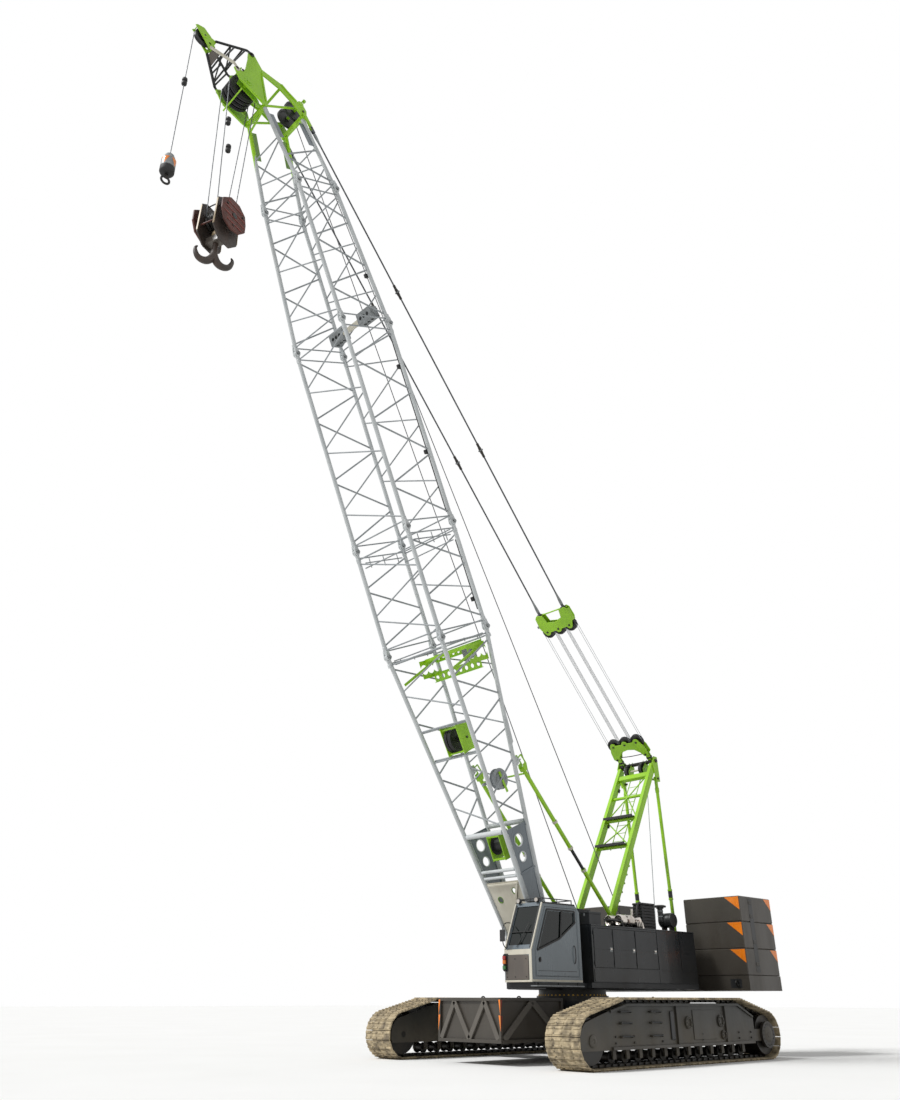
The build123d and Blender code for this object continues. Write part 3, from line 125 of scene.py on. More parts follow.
def coated(name, look):
    # Sprayed or rolled finish on steel: broad fading, streaks running down, chips and dust from the ground up
    material, tree, shader, spot = newMaterial(name, {"Metallic": look.get("metal", 0),
        "Coat Weight": look.get("coat", 0), "Specular IOR Level": look.get("shine", 0.5)})
    broad = noise(tree, spot, 1 / look.get("patch", 0.7), 4)
    stretched = addNode(tree, "Mapping", {"Scale": (2.6, 2.6, 0.7)}, {"Vector": spot}).outputs[0]
    streak = noise(tree, stretched, 1, 5, 0.6)
    chipNoise = noise(tree, spot, 1 / look.get("chipSize", 0.05), 6, 0.7)
    fade = ranged(tree, broad, 0.35, 0.68, look.get("vary", 0.6))
    colour = addNode(tree, "Mix", {"data_type": "RGBA", 6: linear(look["colour"]), 7: linear(look["shade"])},
        {0: fade}).outputs[2]
    run = ranged(tree, streak, 0.48, 0.85, look["dirt"])
    colour = tinted(tree, run, colour, look.get("dirtColour", "4a443a"))
    chip = ranged(tree, chipNoise, 0.64, 0.68, look["chips"])
    colour = tinted(tree, chip, colour, look.get("chipColour", "5b564f"))
    if look.get("dust"):
        height = addNode(tree, "SeparateXYZ", {}, {"Vector": spot}).outputs["Z"]
        low = ranged(tree, height, look.get("dustTop", 2.4), 0, look["dust"])
        amount = addNode(tree, "Math", {"operation": "MULTIPLY"}, {0: low, 1: broad}).outputs[0]
        colour = tinted(tree, amount, colour, "8a7b62")
    tree.links.new(colour, shader.inputs["Base Color"])
    rough = look["rough"]
    tree.links.new(ranged(tree, streak, 0.3, 0.7, rough + 0.12, rough - 0.09), shader.inputs["Roughness"])
    peel = noise(tree, spot, 1 / look.get("grain", 0.03), 3)
    bump = addNode(tree, "Bump", {"Strength": look.get("bump", 0.1), "Distance": look.get("relief", 0.0006)},
        {"Height": peel})
    tree.links.new(bump.outputs[0], shader.inputs["Normal"])
    return material


def sprayed(colour, shade, dirt=0.35, chips=0.3, rough=0.4, **more):
    # colour, the shade it fades to, shares of dirt and chips, roughness
    return {"colour": colour, "shade": shade, "dirt": dirt, "chips": chips, "rough": rough, **more}


finishes = {
    # lime machine enamel: bright, half gloss, road film in the streaks
    "limeEnamel": sprayed("98cd1c", "7fb516", 0.22, 0.15, 0.34, dirtColour="4d5a1c"),
    # dark green side of the head: the lime enamel darkened as a painted shade
    "shadedLimeEnamel": sprayed("5f8a22", "4c731c", 0.35, 0.2),
    # pale grey lattice enamel, slightly cool, chalky with dust along the upper sides
    "latticeEnamel": sprayed("c6cacb", "aeb4b6", 0.3, 0.25, 0.42, dirtColour="7c7a72", chipColour="6b6a66",
        chipSize=0.03),
    # thin bars of the lattice: the lattice grey painted darker as a painted shade, with grime streaks
    "shadedLacingEnamel": sprayed("989da0", "7b8184", 0.45, 0.3, 0.45, dirtColour="55534d", chipSize=0.025),
    # blue grey gloss enamel of the cab and the butt webs
    "slateEnamel": sprayed("626d74", "545e65", 0.18, 0.12, 0.25, dirtColour="3e4245", coat=0.4),
    # cream enamel of the front of the cab and of the butt's foot
    "creamEnamel": sprayed("c9c5b6", "b4ae9c", 0.4, 0.2, 0.42, dirtColour="7a6f5c"),
    # charcoal gloss enamel of the machinery house, mirrors the sky softly
    "charcoalGloss": sprayed("25282b", "1d2022", 0.2, 0.03, 0.3, dirtColour="3a3833", shine=0.3, coat=0.1, dust=0.2,
        dustTop=2.6, bump=0.04),
    # charcoal satin of the frames and boxes
    "charcoalSatin": sprayed("26282a", "1d1f20", 0.35, 0.15, 0.45, dirtColour="3d3932", shine=0.35),
    # cast iron ballast under brown grey paint, slightly uneven
    "ballastPaint": sprayed("413c35", "332f29", 0.3, 0.25, 0.42, dirtColour="2a2722", chipColour="6a6255", patch=1.1,
        bump=0.3, relief=0.001, grain=0.05),
    # near black paint of the track frames, dusty towards the ground
    "trackPaint": sprayed("1f2120", "171918", 0.45, 0.3, 0.5, dirtColour="3d3a30", dust=0.5, dustTop=1.3),
    # welded bars over the ballast, the same paint made lighter as a painted highlight on the raised bars
    "ballastBarHighlight": sprayed("5c5750", "4b4741", 0.4, 0.25, 0.5, dirtColour="37332d"),
    # forged and cast track steel caked with dried mud
    "muddySteel": sprayed("c2b190", "6d6250", 0.55, 0.55, 0.8, vary=1, patch=0.16, dirtColour="3f382d",
        chipColour="c0b08e", chipSize=0.04, bump=0.8, relief=0.006, grain=0.02),
    # greasy dark machinery steel: rollers, pins, chains
    "greasySteel": sprayed("2a2825", "1c1b19", 0.5, 0.4, 0.38, dirtColour="51483a", chipColour="6d675d", metal=0.3),
    # black nylon and cast sheaves
    "sheaveBlack": sprayed("1a1b1c", "242526", 0.3, 0.15, 0.42),
    # dark brown cast steel of the hook and its block, rust bleeding through
    "castBrown": sprayed("3d332d", "2c2622", 0.6, 0.45, 0.5, vary=0.9, patch=0.2, dirtColour="5c4232",
        chipColour="6d4a35", bump=0.4, relief=0.002, grain=0.015),
    # red oxide primer on the side weights, worn
    "oxidePrimer": sprayed("5e3329", "46261f", 0.6, 0.5, 0.6, vary=0.9, patch=0.15, dirtColour="2c2220",
        chipColour="86604f"),
    # cream paint on the swivel nut, greasy
    "nutCream": sprayed("b39d77", "8f7c5c", 0.7, 0.4, 0.5, vary=0.9, patch=0.1, dirtColour="4b3f2e"),
    # bronze coloured zinc plating on the slewing ring's bolts
    "yellowZinc": sprayed("a58439", "8a6b2b", 0.4, 0.2, 0.35, metal=0.8, patch=0.1),
    # hot dip galvanised walkway and rails, grey spangle
    "galvanised": sprayed("8b8f90", "6f7374", 0.4, 0.2, 0.45, vary=0.8, patch=0.05, metal=0.6),
    # bare stainless shell of the silencers, bright and dented
    "brightSteel": sprayed("cfc9c2", "a9a29a", 0.35, 0.1, 0.2, vary=0.8, patch=0.12, dirtColour="6b5a48", metal=1,
        bump=0.5, relief=0.004, grain=0.09),
    # drawn steel wire rope, greased
    "wireRope": sprayed("5d6063", "43464a", 0.5, 0.3, 0.42, vary=0.9, patch=0.08, dirtColour="2b2b2a",
        chipColour="8f9294", metal=0.6),
    # pale ropes: a painted highlight where the sky lights them from behind
    "ropeHighlight": sprayed("b9bfc3", "9aa0a4", 0.3, 0.2, vary=0.8, patch=0.08, metal=0.4),
    # brown grey enamel of the panel below the windscreen, road dust baked on
    "panelBrown": sprayed("5a534c", "494440", 0.4, 0.2, dirtColour="766c5e"),
    # retroreflective sheet, orange, beaded
    "orangeSheet": sprayed("f5871a", "e57512", 0.15, 0.08, 0.3, patch=0.2, coat=0.3),
    # the same sheet in dark red
    "redSheet": sprayed("7c2a1c", "662016", 0.2, 0.1, 0.3, patch=0.2),
    # black rubber and moulded plastic
    "blackRubber": sprayed("171819", "202122", 0.3, 0.05, 0.6),
    # dark woven seat cover
    "seatCloth": sprayed("25272b", "1c1e21", 0.15, 0.05, 0.85, grain=0.004, bump=0.5),
    # red and amber lamp lenses, clear moulded plastic
    "redLens": sprayed("b3201a", "8c1612", 0.1, 0.02, 0.15, coat=0.7),
    "amberLens": sprayed("e07b12", "c4660c", 0.1, 0.02, 0.15, coat=0.7),
    "greenLens": sprayed("2f7a35", "24602a", 0.1, 0.02, 0.15, coat=0.7),
}
paints = {name: coated(name, look) for name, look in finishes.items()}


def tintedGlass():
    # Solar tinted safety glass: dark green body, sharp reflections, a film of dust
    material, tree, shader, spot = newMaterial("tintedGlass", {"IOR": 1.5, "Transmission Weight": 0.45,
        "Specular IOR Level": 0.3, "Base Color": linear("18201e")})
    tree.links.new(ranged(tree, noise(tree, spot, 6, 6), 0.4, 0.75, 0.16, 0.02), shader.inputs["Roughness"])
    return material


def partPainted(name, first, second, direction, start, end):
    # One enamel running into another along a direction, masked where the spray ended
    material = coated(name, finishes[first])
    tree = material.node_tree
    shader = tree.nodes["Principled BSDF"]
    old = shader.inputs["Base Color"].links[0].from_socket
    spot = addNode(tree, "TexCoord").outputs["Object"]
    along = addNode(tree, "VectorMath", {"operation": "DOT_PRODUCT", 1: direction}, {0: spot}).outputs["Value"]
    edge = addNode(tree, "Math", {"operation": "MULTIPLY_ADD", 1: 0.06}, {0: noise(tree, spot, 14, 2),
        2: along}).outputs[0]
    colour = tinted(tree, ranged(tree, edge, start, end), old, finishes[second]["colour"])
    tree.links.new(colour, shader.inputs["Base Color"])
    return material


paints["tintedGlass"] = tintedGlass()
print("finishes made")


def pick(*objs):
    bpy.ops.object.select_all(action="DESELECT")
    for obj in objs:
        obj.select_set(True)
    bpy.context.view_layer.objects.active = objs[-1]


def merged(parts):
    pick(*parts)
    bpy.ops.object.join()
    return bpy.context.view_layer.objects.active


def shown(obj):
    bpy.context.scene.collection.objects.link(obj)
    return obj


def settle(obj):
    # puts the place into the mesh
    pick(obj)
    bpy.ops.object.transform_apply(location=True, rotation=True, scale=True)
    return obj


def editAll(obj, *steps):
    pick(obj)
    bpy.ops.object.mode_set(mode="EDIT")
    bpy.ops.mesh.select_all(action="SELECT")
    for step in steps:
        step()
    bpy.ops.object.mode_set(mode="OBJECT")
    return obj


def chamfer(obj, width, steps=1):
    pick(obj)
    mod = obj.modifiers.new("edges", "BEVEL")
    mod.width, mod.segments, mod.limit_method, mod.angle_limit = width, steps, "ANGLE", math.radians(35)
    bpy.ops.object.modifier_apply(modifier=mod.name)
    return obj


def coat(obj, *names):
    obj.data.materials.clear()
    for name in names:
        obj.data.materials.append(paints[name])
    return obj


def slab(low, high, finish, edge=0.006):
    # box between two corners with its edges broken
    centre = [(a + b) / 2 for a, b in zip(low, high)]
    size = [b - a for a, b in zip(low, high)]
    bpy.ops.mesh.primitive_cube_add(size=1, location=centre, scale=size)
    obj = settle(bpy.context.object)
    if edge:
        editAll(obj, lambda: bpy.ops.mesh.bevel(offset=min(edge, min(abs(v) for v in size) / 3), segments=1,
            affect="EDGES"))
    return coat(obj, finish)


def roundBar(start, end, radius, finish, sides=14, edge=0.15):
    # bar between two points, its two rims broken
    start, end = Vector(start), Vector(end)
    run = end - start
    bpy.ops.mesh.primitive_cylinder_add(vertices=sides, radius=radius, depth=run.length, location=(start + end) / 2,
        rotation=run.to_track_quat("Z", "Y").to_euler())
    obj = settle(bpy.context.object)
    if edge:
        chamfer(obj, radius * edge)
    pick(obj)
    bpy.ops.object.shade_smooth_by_angle(angle=math.radians(40))
    return coat(obj, finish)


def shaft(x, z, y0, y1, radius, finish, sides=14, edge=0.15):
    # round bar across the machine
    return roundBar((x, y0, z), (x, y1, z), radius, finish, sides, edge)


def boltRing(x, z, ring, count, y0, y1, radius):
    # bolt heads round a hub
    parts = []
    for k in range(count):
        turn = math.tau * k / count
        parts.append(shaft(x + ring * math.cos(turn), z + ring * math.sin(turn), y0, y1, radius, "greasySteel", 6, 0))
    return parts


def closed(points):
    # each point with the next one, round to the first
    return zip(points, points[1:] + points[:1])


def span(side, inner, outer):
    # the two places along Y on that side, the lower one first
    return sorted((side * inner, side * outer))


def flatBar(start, end, width, thick, finish, side=(0, 1, 0)):
    # rectangular bar between two points, width measured along side
    start, end, side = Vector(start), Vector(end), Vector(side).normalized()
    run = (end - start).normalized()
    third = run.cross(side).normalized()
    side = third.cross(run)
    bpy.ops.mesh.primitive_cube_add(size=1, scale=((end - start).length, width, thick))
    obj = settle(bpy.context.object)
    editAll(obj, lambda: bpy.ops.mesh.bevel(offset=min(width, thick) * 0.12, segments=1, affect="EDGES"))
    turn = Matrix((run, side, third)).transposed().to_4x4()
    obj.data.transform(Matrix.Translation((start + end) / 2) @ turn)
    return coat(obj, finish)


def outlinePlate(points, low, high, axis, finish, edge=0.004):
    # plate with that outline, its thickness along axis; the outline lies in the other two axes in order
    bpy.ops.mesh.primitive_circle_add(vertices=len(points), radius=1, fill_type="NGON")
    obj = bpy.context.object
    for vertex, (u, v) in zip(obj.data.vertices, points):
        spot = {"x": (low, u, v), "y": (u, low, v), "z": (u, v, low)}[axis]
        vertex.co = spot
    step = {"x": (high - low, 0, 0), "y": (0, high - low, 0), "z": (0, 0, high - low)}[axis]
    editAll(obj, lambda: bpy.ops.mesh.extrude_region_move(TRANSFORM_OT_translate={"value": step}),
        lambda: bpy.ops.mesh.select_all(action="SELECT"), lambda: bpy.ops.mesh.normals_make_consistent(inside=False))
    if edge:
        chamfer(obj, edge)
    return coat(obj, finish)


def cut(obj, *cutters):
    for cutter in cutters:
        pick(obj)
        mod = obj.modifiers.new("hole", "BOOLEAN")
        mod.operation, mod.solver, mod.object = "DIFFERENCE", "EXACT", cutter
        bpy.ops.object.modifier_apply(modifier=mod.name)
        bpy.data.objects.remove(cutter)
    return obj


def drill(radius, depth, place, turn=(0, 0, 0), sides=20):
    bpy.ops.mesh.primitive_cylinder_add(vertices=sides, radius=radius, depth=depth, location=place, rotation=turn)
    return settle(bpy.context.object)


def spun(profile, finish, steps=32, angle=40):
    # profile of (radius, y) turned about the Y axis; ends on the axis or a closed loop
    bpy.ops.mesh.primitive_circle_add(vertices=len(profile), radius=1)
    obj = bpy.context.object
    for vertex, (radius, y) in zip(obj.data.vertices, profile):
        vertex.co = (radius, y, 0)
    editAll(obj, lambda: bpy.ops.mesh.spin(steps=steps, angle=math.tau, center=(0, 0, 0), axis=(0, 1, 0)),
        lambda: bpy.ops.mesh.select_all(action="SELECT"), lambda: bpy.ops.mesh.remove_doubles(threshold=0.00005),
        lambda: bpy.ops.mesh.normals_make_consistent(inside=False))
    pick(obj)
    bpy.ops.object.shade_smooth_by_angle(angle=math.radians(angle))
    return coat(obj, finish)


def moved(obj, matrix):
    obj.data.transform(matrix)
    if matrix.determinant() < 0:
        editAll(obj, lambda: bpy.ops.mesh.normals_make_consistent(inside=False))
    return obj


def again(obj, matrix):
    # a copy with a mesh of its own
    twin = obj.copy()
    twin.data = obj.data.copy()
    return moved(shown(twin), matrix)


def shift(x, y, z):
    return Matrix.Translation((x, y, z))


otherSide = Matrix.Diagonal((1, -1, 1, 1))


def piece(name, parts, body, frameMatrix=None, replaced=()):
    # joins the parts into one named piece that rides on a body
    parts = list(parts)
    pick(*parts)
    if len(parts) > 1:
        bpy.ops.object.join()
    obj = bpy.context.view_layer.objects.active
    obj.name = name
    if frameMatrix is not None:
        obj.data.transform(frameMatrix)
    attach(obj, body)
    if replaced:
        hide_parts(*replaced)
    return obj


# Finishes of the CAD solids
alongBoom = (math.cos(boomAngle), 0, math.sin(boomAngle))
footReach = boomFoot.dot(Vector(alongBoom))
finishNodes = {
    "latticeEnamel": ("boom_butt", "boom_insert_short", "boom_insert_long", "boom_top", "boom_joint_pins",
        "backstop_ears"),
    # the lacing and the jib take the darker lacing paint, a painted shade
    "shadedLacingEnamel": ("boom_lacing", "aux_jib"),
    "slateEnamel": ("cab_shell", "cab_door"),
    "limeEnamel": ("head_cheeks", "bridle", "backstop_tubes", "backstop_rods", "gantry_legs", "gantry_head",
        "gantry_rear_legs", "gantry_block"),
    "sheaveBlack": ("head_sheaves", "air_filter"),
    "wireRope": ("pendants", "main_hoist_ropes", "aux_hoist_rope"),
    "charcoalSatin": ("upper_frame", "side_frames", "carbody"),
    "greasySteel": ("slew_ring_upper", "slew_ring_lower", "upper_pins", "engine_block", "winches", "track_rollers",
        "idler_wheels", "drive_sprockets", "hook_block_sheaves"),
    "charcoalGloss": ("housing_left", "housing_right", "housing_door_1", "housing_door_2", "housing_door_3"),
    "brightSteel": ("silencers",),
    "blackRubber": ("roof_boxes",),
    "tintedGlass": ("cab_glass", "cab_door_glass"),
    "seatCloth": ("cab_seat",),
    "ballastPaint": ("counterweight_base", "counterweight_slabs", "carbody_weight_front", "carbody_weight_rear"),
    "muddySteel": ("track_left", "track_right"),
    "trackPaint": ("track_frame_left", "track_frame_right"),
    "castBrown": ("hook_block", "main_hook", "aux_ball", "aux_hook"),
    "webEnamel": ("butt_webs",),
}
nodeFinish = {node: finish for finish, nodes in finishNodes.items() for node in nodes}
# the far side of the head is sprayed lime, and its edge webs take the darker lime, a painted shade
towardsFar = Vector(alongBoom) + Vector((0, -3, 0))
paints["headEnamel"] = partPainted("headEnamel", "latticeEnamel", "limeEnamel", towardsFar, footReach + 25.4,
    footReach + 25.45)
acrossFar = Vector(alongBoom) + Vector((0, -10, 0))
paints["webEnamel"] = partPainted("webEnamel", "slateEnamel", "shadedLimeEnamel", acrossFar, footReach + 24, footReach + 24.2)
for name, obj in frame["nodes"].items():
    coat(obj, nodeFinish.get(name, "headEnamel"))
print("CAD solids painted")


# Tracks: one shoe with its pads, bolts and link, repeated round the loop
track = {"shoes": 76, "radius": 0.55, "topRun": 2.35, "gap": 0.024, "linkY": 0.13, "frameHalf": 0.38, "steps": 40}
trackLow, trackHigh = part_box("track_left")
trackY = (trackLow.y + trackHigh.y) / 2
trackMiddle = (trackLow.x + trackHigh.x) / 2
wheelX = (trackHigh.x - trackLow.x) / 2 - track["radius"]
shoeHalf = (trackHigh.y - trackLow.y) / 2


def loopCorners(spec, height):
    radius = spec["radius"]
    rise, run = height - radius, wheelX - spec["topRun"]
    angle = math.pi - math.atan2(rise, run) - math.acos(radius / math.hypot(run, rise))
    arc = [-math.pi / 2 + (angle + math.pi / 2) * i / spec["steps"] for i in range(spec["steps"] + 1)]
    front = [(wheelX + radius * math.cos(a), radius + radius * math.sin(a)) for a in arc]
    return front + [(spec["topRun"], height), (-spec["topRun"], height)] + [(-x, z) for x, z in reversed(front)]


def loopPlaces(corners, count):
    # count matrices evenly round the loop, X along it and Z outwards
    runs = [(Vector(a), Vector(b)) for a, b in closed(corners)]
    start = sum((b - a).length for a, b in runs) - (corners[0][0] - corners[-1][0])
    total = sum((b - a).length for a, b in runs)
    places = []
    for i in range(count):
        left = (start + i * total / count) % total
        for a, b in runs:
            if left <= (b - a).length:
                along = (b - a).normalized()
                spot = a + along * left
                turn = Matrix(((along.x, 0, along.y), (0, 1, 0), (along.y, 0, -along.x))).to_4x4()
                places.append(shift(trackMiddle + spot.x, 0, spot.y) @ turn)
                break
            left -= (b - a).length
    return places, total / count


corners = loopCorners(track, trackHigh.z)
places, pitch = loopPlaces(corners, track["shoes"])


def shoe(spec, pitch, half):
    # local Z points out of the loop and 0 is the outer face
    long = (pitch - spec["gap"]) / 2
    parts = [slab((-long, -half, -0.046), (long, half, -0.02), "muddySteel", 0.005)]
    for low, high in ((-half + 0.01, -0.27), (-0.22, -0.02), (0.02, 0.22), (0.27, half - 0.01)):
        for x in (-long * 0.56, long * 0.56):
            parts.append(slab((x - 0.022, low, -0.022), (x + 0.022, high, 0), "muddySteel", 0.008))
    for y in (-spec["linkY"], spec["linkY"]):
        parts.append(slab((-long - 0.006, y - 0.035, -0.108), (long + 0.006, y + 0.035, -0.044), "greasySteel", 0.008))
        for x in (-long * 0.5, long * 0.5):
            parts.append(roundBar((x, y - 0.1, -0.024), (x, y - 0.1, -0.008), 0.014, "greasySteel", 6, 0))
    parts.append(shaft(long + 0.01, -0.078, -0.2, 0.2, 0.026, "greasySteel", 8, 0))
    return parts


def roller(radius, half):
    # flanged roller on its shaft
    low = radius * 0.8
    return spun([(0, -half), (0.05, -half), (0.05, -half + 0.04), (radius, -half + 0.05), (radius, -half + 0.09),
        (low, -half + 0.1), (low, half - 0.1), (radius, half - 0.09), (radius, half - 0.05), (0.05, half - 0.04),
        (0.05, half), (0, half)], "greasySteel", 20)


oneShoe = merged(shoe(track, pitch, shoeHalf))
rollerLow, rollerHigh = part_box("track_rollers")
for side, name in ((1, "left"), (-1, "right")):
    shoes = [again(oneShoe, shift(0, side * trackY, 0) @ place) for place in places]
    belt = piece("trackShoes" + name.title(), shoes, "undercarriage", None, ["track_" + name])
    for vertex in belt.data.vertices:
        vertex.co.z = max(vertex.co.z, 0)  # worn level with the ground
oneRoller = roller(0.12, 0.19)
rollers = []
for side in (1, -1):
    for i in range(12):
        x = rollerLow.x + 0.12 + (rollerHigh.x - rollerLow.x - 0.24) * i / 11
        rollers.append(again(oneRoller, shift(x, side * trackY, (rollerLow.z + rollerHigh.z) / 2)))
piece("flangedRollers", rollers, "undercarriage", None, ["track_rollers"])
bpy.data.objects.remove(oneShoe)
bpy.data.objects.remove(oneRoller)

# Track frame: ledge, ribs, bosses, steps, bolts and the end covers
frameDetail = {"ribs": (0.42, -1.62), "bosses": ((-0.05, 0.86, 0.13), (-1.42, 0.88, 0.13), (-1.5, 0.58, 0.1)),
    "ledge": 0.4, "stepX": (2.35, 1.25), "boltX": (2.7, 2.05, 1.0, -0.6, -2.2, -2.75)}


def trackFrameDetail(spec):
    # outer face at y 0, towards the machine is minus
    parts = [slab((-2.75, -0.02, spec["ledge"] - 0.03), (2.84, 0.05, spec["ledge"] + 0.03), "ballastPaint"),
        outlinePlate([(-2.9, 0.93), (-2.9, 0.98), (-2.25, 1.255), (2.25, 1.255), (2.84, 1.13), (2.84, 1.08),
            (2.24, 1.2), (-2.23, 1.2)], 0, 0.035, "y", "trackPaint")]
    for x in spec["ribs"]:
        parts.append(slab((x - 0.018, -0.01, 0.43), (x + 0.018, 0.05, 1.2), "trackPaint"))
    for x, z, radius in spec["bosses"]:
        parts.append(moved(spun([(0, -0.01), (radius, -0.01), (radius, 0.035), (radius - 0.02, 0.05),
            (radius * 0.62, 0.05), (radius * 0.55, 0.02), (0.02, 0.02), (0, 0.02)], "trackPaint", 28), shift(x, 0, z)))
        parts += boltRing(x, z, radius * 0.8, 8, 0.045, 0.062, 0.012)
    for x in spec["stepX"]:
        for z in (0.62, 0.88, 1.1):
            parts.append(slab((x - 0.2, 0, z - 0.012), (x + 0.2, 0.075, z + 0.012), "charcoalSatin"))
            for end in (-0.19, 0.19):
                parts.append(slab((x + end - 0.012, 0, z - 0.03), (x + end + 0.012, 0.075, z + 0.01), "trackPaint"))
    for x in spec["boltX"]:
        for z in (0.5, 0.62):
            parts.append(shaft(x, z, -0.005, 0.025, 0.02, "greasySteel", 6, 0))
    # access panel between the ribs
    parts += [
        slab((-1.2, 0, 0.5), (-0.25, 0.018, 1.12), "trackPaint", 0.01),
        slab((0.52, 0, 0.52), (0.66, 0.03, 1.1), "sheaveBlack", 0.01),
        # small cap over the idler's shaft, at the front
        moved(spun([(0, 0), (0.12, 0), (0.12, 0.015), (0.1, 0.03), (0.05, 0.03), (0.04, 0.02), (0, 0.02)], "trackPaint",
            28), shift(wheelX, 0, track["radius"])),
    ]
    # drive hub at the rear: stepped cover with a ring of bolts
    hub = spun([(0, 0.02), (0.3, 0.02), (0.3, 0.045), (0.26, 0.06), (0.2, 0.06), (0.18, 0.075), (0.07, 0.075),
        (0.06, 0.085), (0, 0.085)], "trackPaint", 36)
    parts.append(moved(hub, shift(-wheelX, 0, track["radius"])))
    return parts + boltRing(-wheelX, track["radius"], 0.235, 16, 0.055, 0.078, 0.016)


for side, name in ((1, "left"), (-1, "right")):
    detail = merged(trackFrameDetail(frameDetail))
    moved(detail, shift(trackMiddle, side * (trackY + track["frameHalf"]), 0) @
        (Matrix.Identity(4) if side > 0 else otherSide))
    piece("trackFrameDetail" + name.title(), [detail], "undercarriage")

# Bolts of the slewing ring
ringSpec = {"bolts": 48, "radius": 0.86, "top": 1.425}
ring = []
for i in range(ringSpec["bolts"]):
    turn = math.tau * (i + 0.5) / ringSpec["bolts"]
    x, y = ringSpec["radius"] * math.cos(turn), ringSpec["radius"] * math.sin(turn)
    if i == 0:
        x0, y0 = x, y
        bolt = roundBar((x, y, ringSpec["top"] - 0.01), (x, y, ringSpec["top"] + 0.028), 0.022, "yellowZinc", 6, 0)
        washer = roundBar((x, y, ringSpec["top"] - 0.01), (x, y, ringSpec["top"] + 0.006), 0.03, "yellowZinc", 10, 0)
        bolt = merged([washer, bolt])
    ring.append(again(bolt, shift(x - x0, y - y0, 0)))
bpy.data.objects.remove(bolt)
piece("slewRingBolts", ring, "undercarriage", upperFrame)
print("tracks done")


# Ballast on the carbody: sunk panels between welded rails and diagonals
ballast = {"low": (1.59, 1.04, 0.45), "high": (3.77, 1.04, 1.37), "rail": 0.07, "sunk": 0.06}


def reflector(points, low, high, axis, finish="orangeSheet"):
    return outlinePlate(points, low, high, axis, finish, 0)


def carbodyBallast(spec):
    x0, y1, z0 = spec["low"]
    x1, _, z1 = spec["high"]
    rail, sunk = spec["rail"], spec["sunk"]
    parts = [slab((x0 + sunk, -y1 + sunk, z0 + 0.02), (x1 - sunk, y1 - sunk, z1 - 0.02), "ballastPaint", 0.012)]
    for z in (z0, z1 - rail):
        parts.append(slab((x0, -y1, z), (x0 + rail, y1, z + rail), "ballastPaint"))
        parts.append(slab((x1 - rail, -y1, z), (x1, y1, z + rail), "ballastPaint"))
        for side in (-1, 1):
            low, high = span(side, y1, y1 - rail)
            parts.append(slab((x0 + rail, low, z), (x1 - rail, high, z + rail), "ballastPaint"))
    for x in (x0, x1 - rail):
        for y in (-y1, y1 - rail):
            parts.append(slab((x, y, z0 + rail), (x + rail, y + rail, z1 - rail), "ballastPaint"))
    low, high = z0 + rail, z1 - rail
    # the welded diagonals on the front and both sides take the lighter bar paint, a painted highlight
    marks = [-y1 + 0.1, -0.5, 0, 0.5, y1 - 0.1]
    for i, (a, b) in enumerate(zip(marks, marks[1:])):
        start, end = (low, high) if i % 2 == 0 else (high, low)
        parts.append(flatBar((x1 - 0.03, a, start), (x1 - 0.03, b, end), 0.12, 0.056, "ballastBarHighlight"))
    for side in (-1, 1):
        middle = (x0 + x1) / 2
        for end in (x0 + 0.12, x1 - 0.12):
            y = side * (y1 - 0.025)
            parts.append(flatBar((end, y, low), (middle, y, high), 0.14, 0.048, "ballastBarHighlight", (1, 0, 0)))
        # reflective sheets near the front corner
        face = side * (y1 + 0.001)
        a, b = sorted((face, side * (y1 - 0.002)))
        for top in (high + 0.03, 0.5 * (low + high) + 0.1):
            parts.append(reflector([(x1 - 0.012, top), (x1 - 0.012, top - 0.3), (x1 - 0.06, top - 0.02)], a, b, "y",
                "redSheet"))
            outline = [(side * (y1 - 0.01), top), (side * (y1 - 0.065), top), (side * (y1 - 0.01), top - 0.33)]
            parts.append(reflector(outline, x1 - 0.002, x1 + 0.001, "x"))
        outline = [(x1 - 0.35, side * (y1 - 0.01)), (x1 - 0.01, side * (y1 - 0.01)), (x1 - 0.01, side * (y1 - 0.3))]
        parts.append(reflector(outline, z1 - 0.002, z1 + 0.001, "z"))
        # lifting eye on the top
        eye = spun([(0.05, -0.014), (0.075, -0.014), (0.075, 0.014), (0.05, 0.014)], "greasySteel", 20)
        parts.append(moved(eye, shift(middle, side * 0.6, z1 - 0.035)))
    # bracket that carries the ballast on the carbody
    parts.append(slab((1.3503, -0.6, 0.65), (x0 + sunk, 0.6, 1.17), "charcoalSatin", 0.012))
    for y in (-0.45, 0, 0.45):
        parts.append(slab((1.352, y - 0.015, 0.56), (x0 + sunk, y + 0.015, 1.26), "charcoalSatin"))
    return parts


front = piece("ballastFront", carbodyBallast(ballast), "undercarriage", upperFrame, ["carbody_weight_front"])
rear = again(front, shift(slewX, 0, 0) @ Matrix.Diagonal((-1, 1, 1, 1)) @ shift(-slewX, 0, 0))
piece("ballastRear", [rear], "undercarriage", None, ["carbody_weight_rear"])

# Counterweight: slabs with broken edges, reflective corners, lifting gear
stack = {"front": -3.783, "rear": -5.428, "inner": 1.15, "outer": 2.951, "levels": (1.92, 2.584, 3.257, 3.911)}


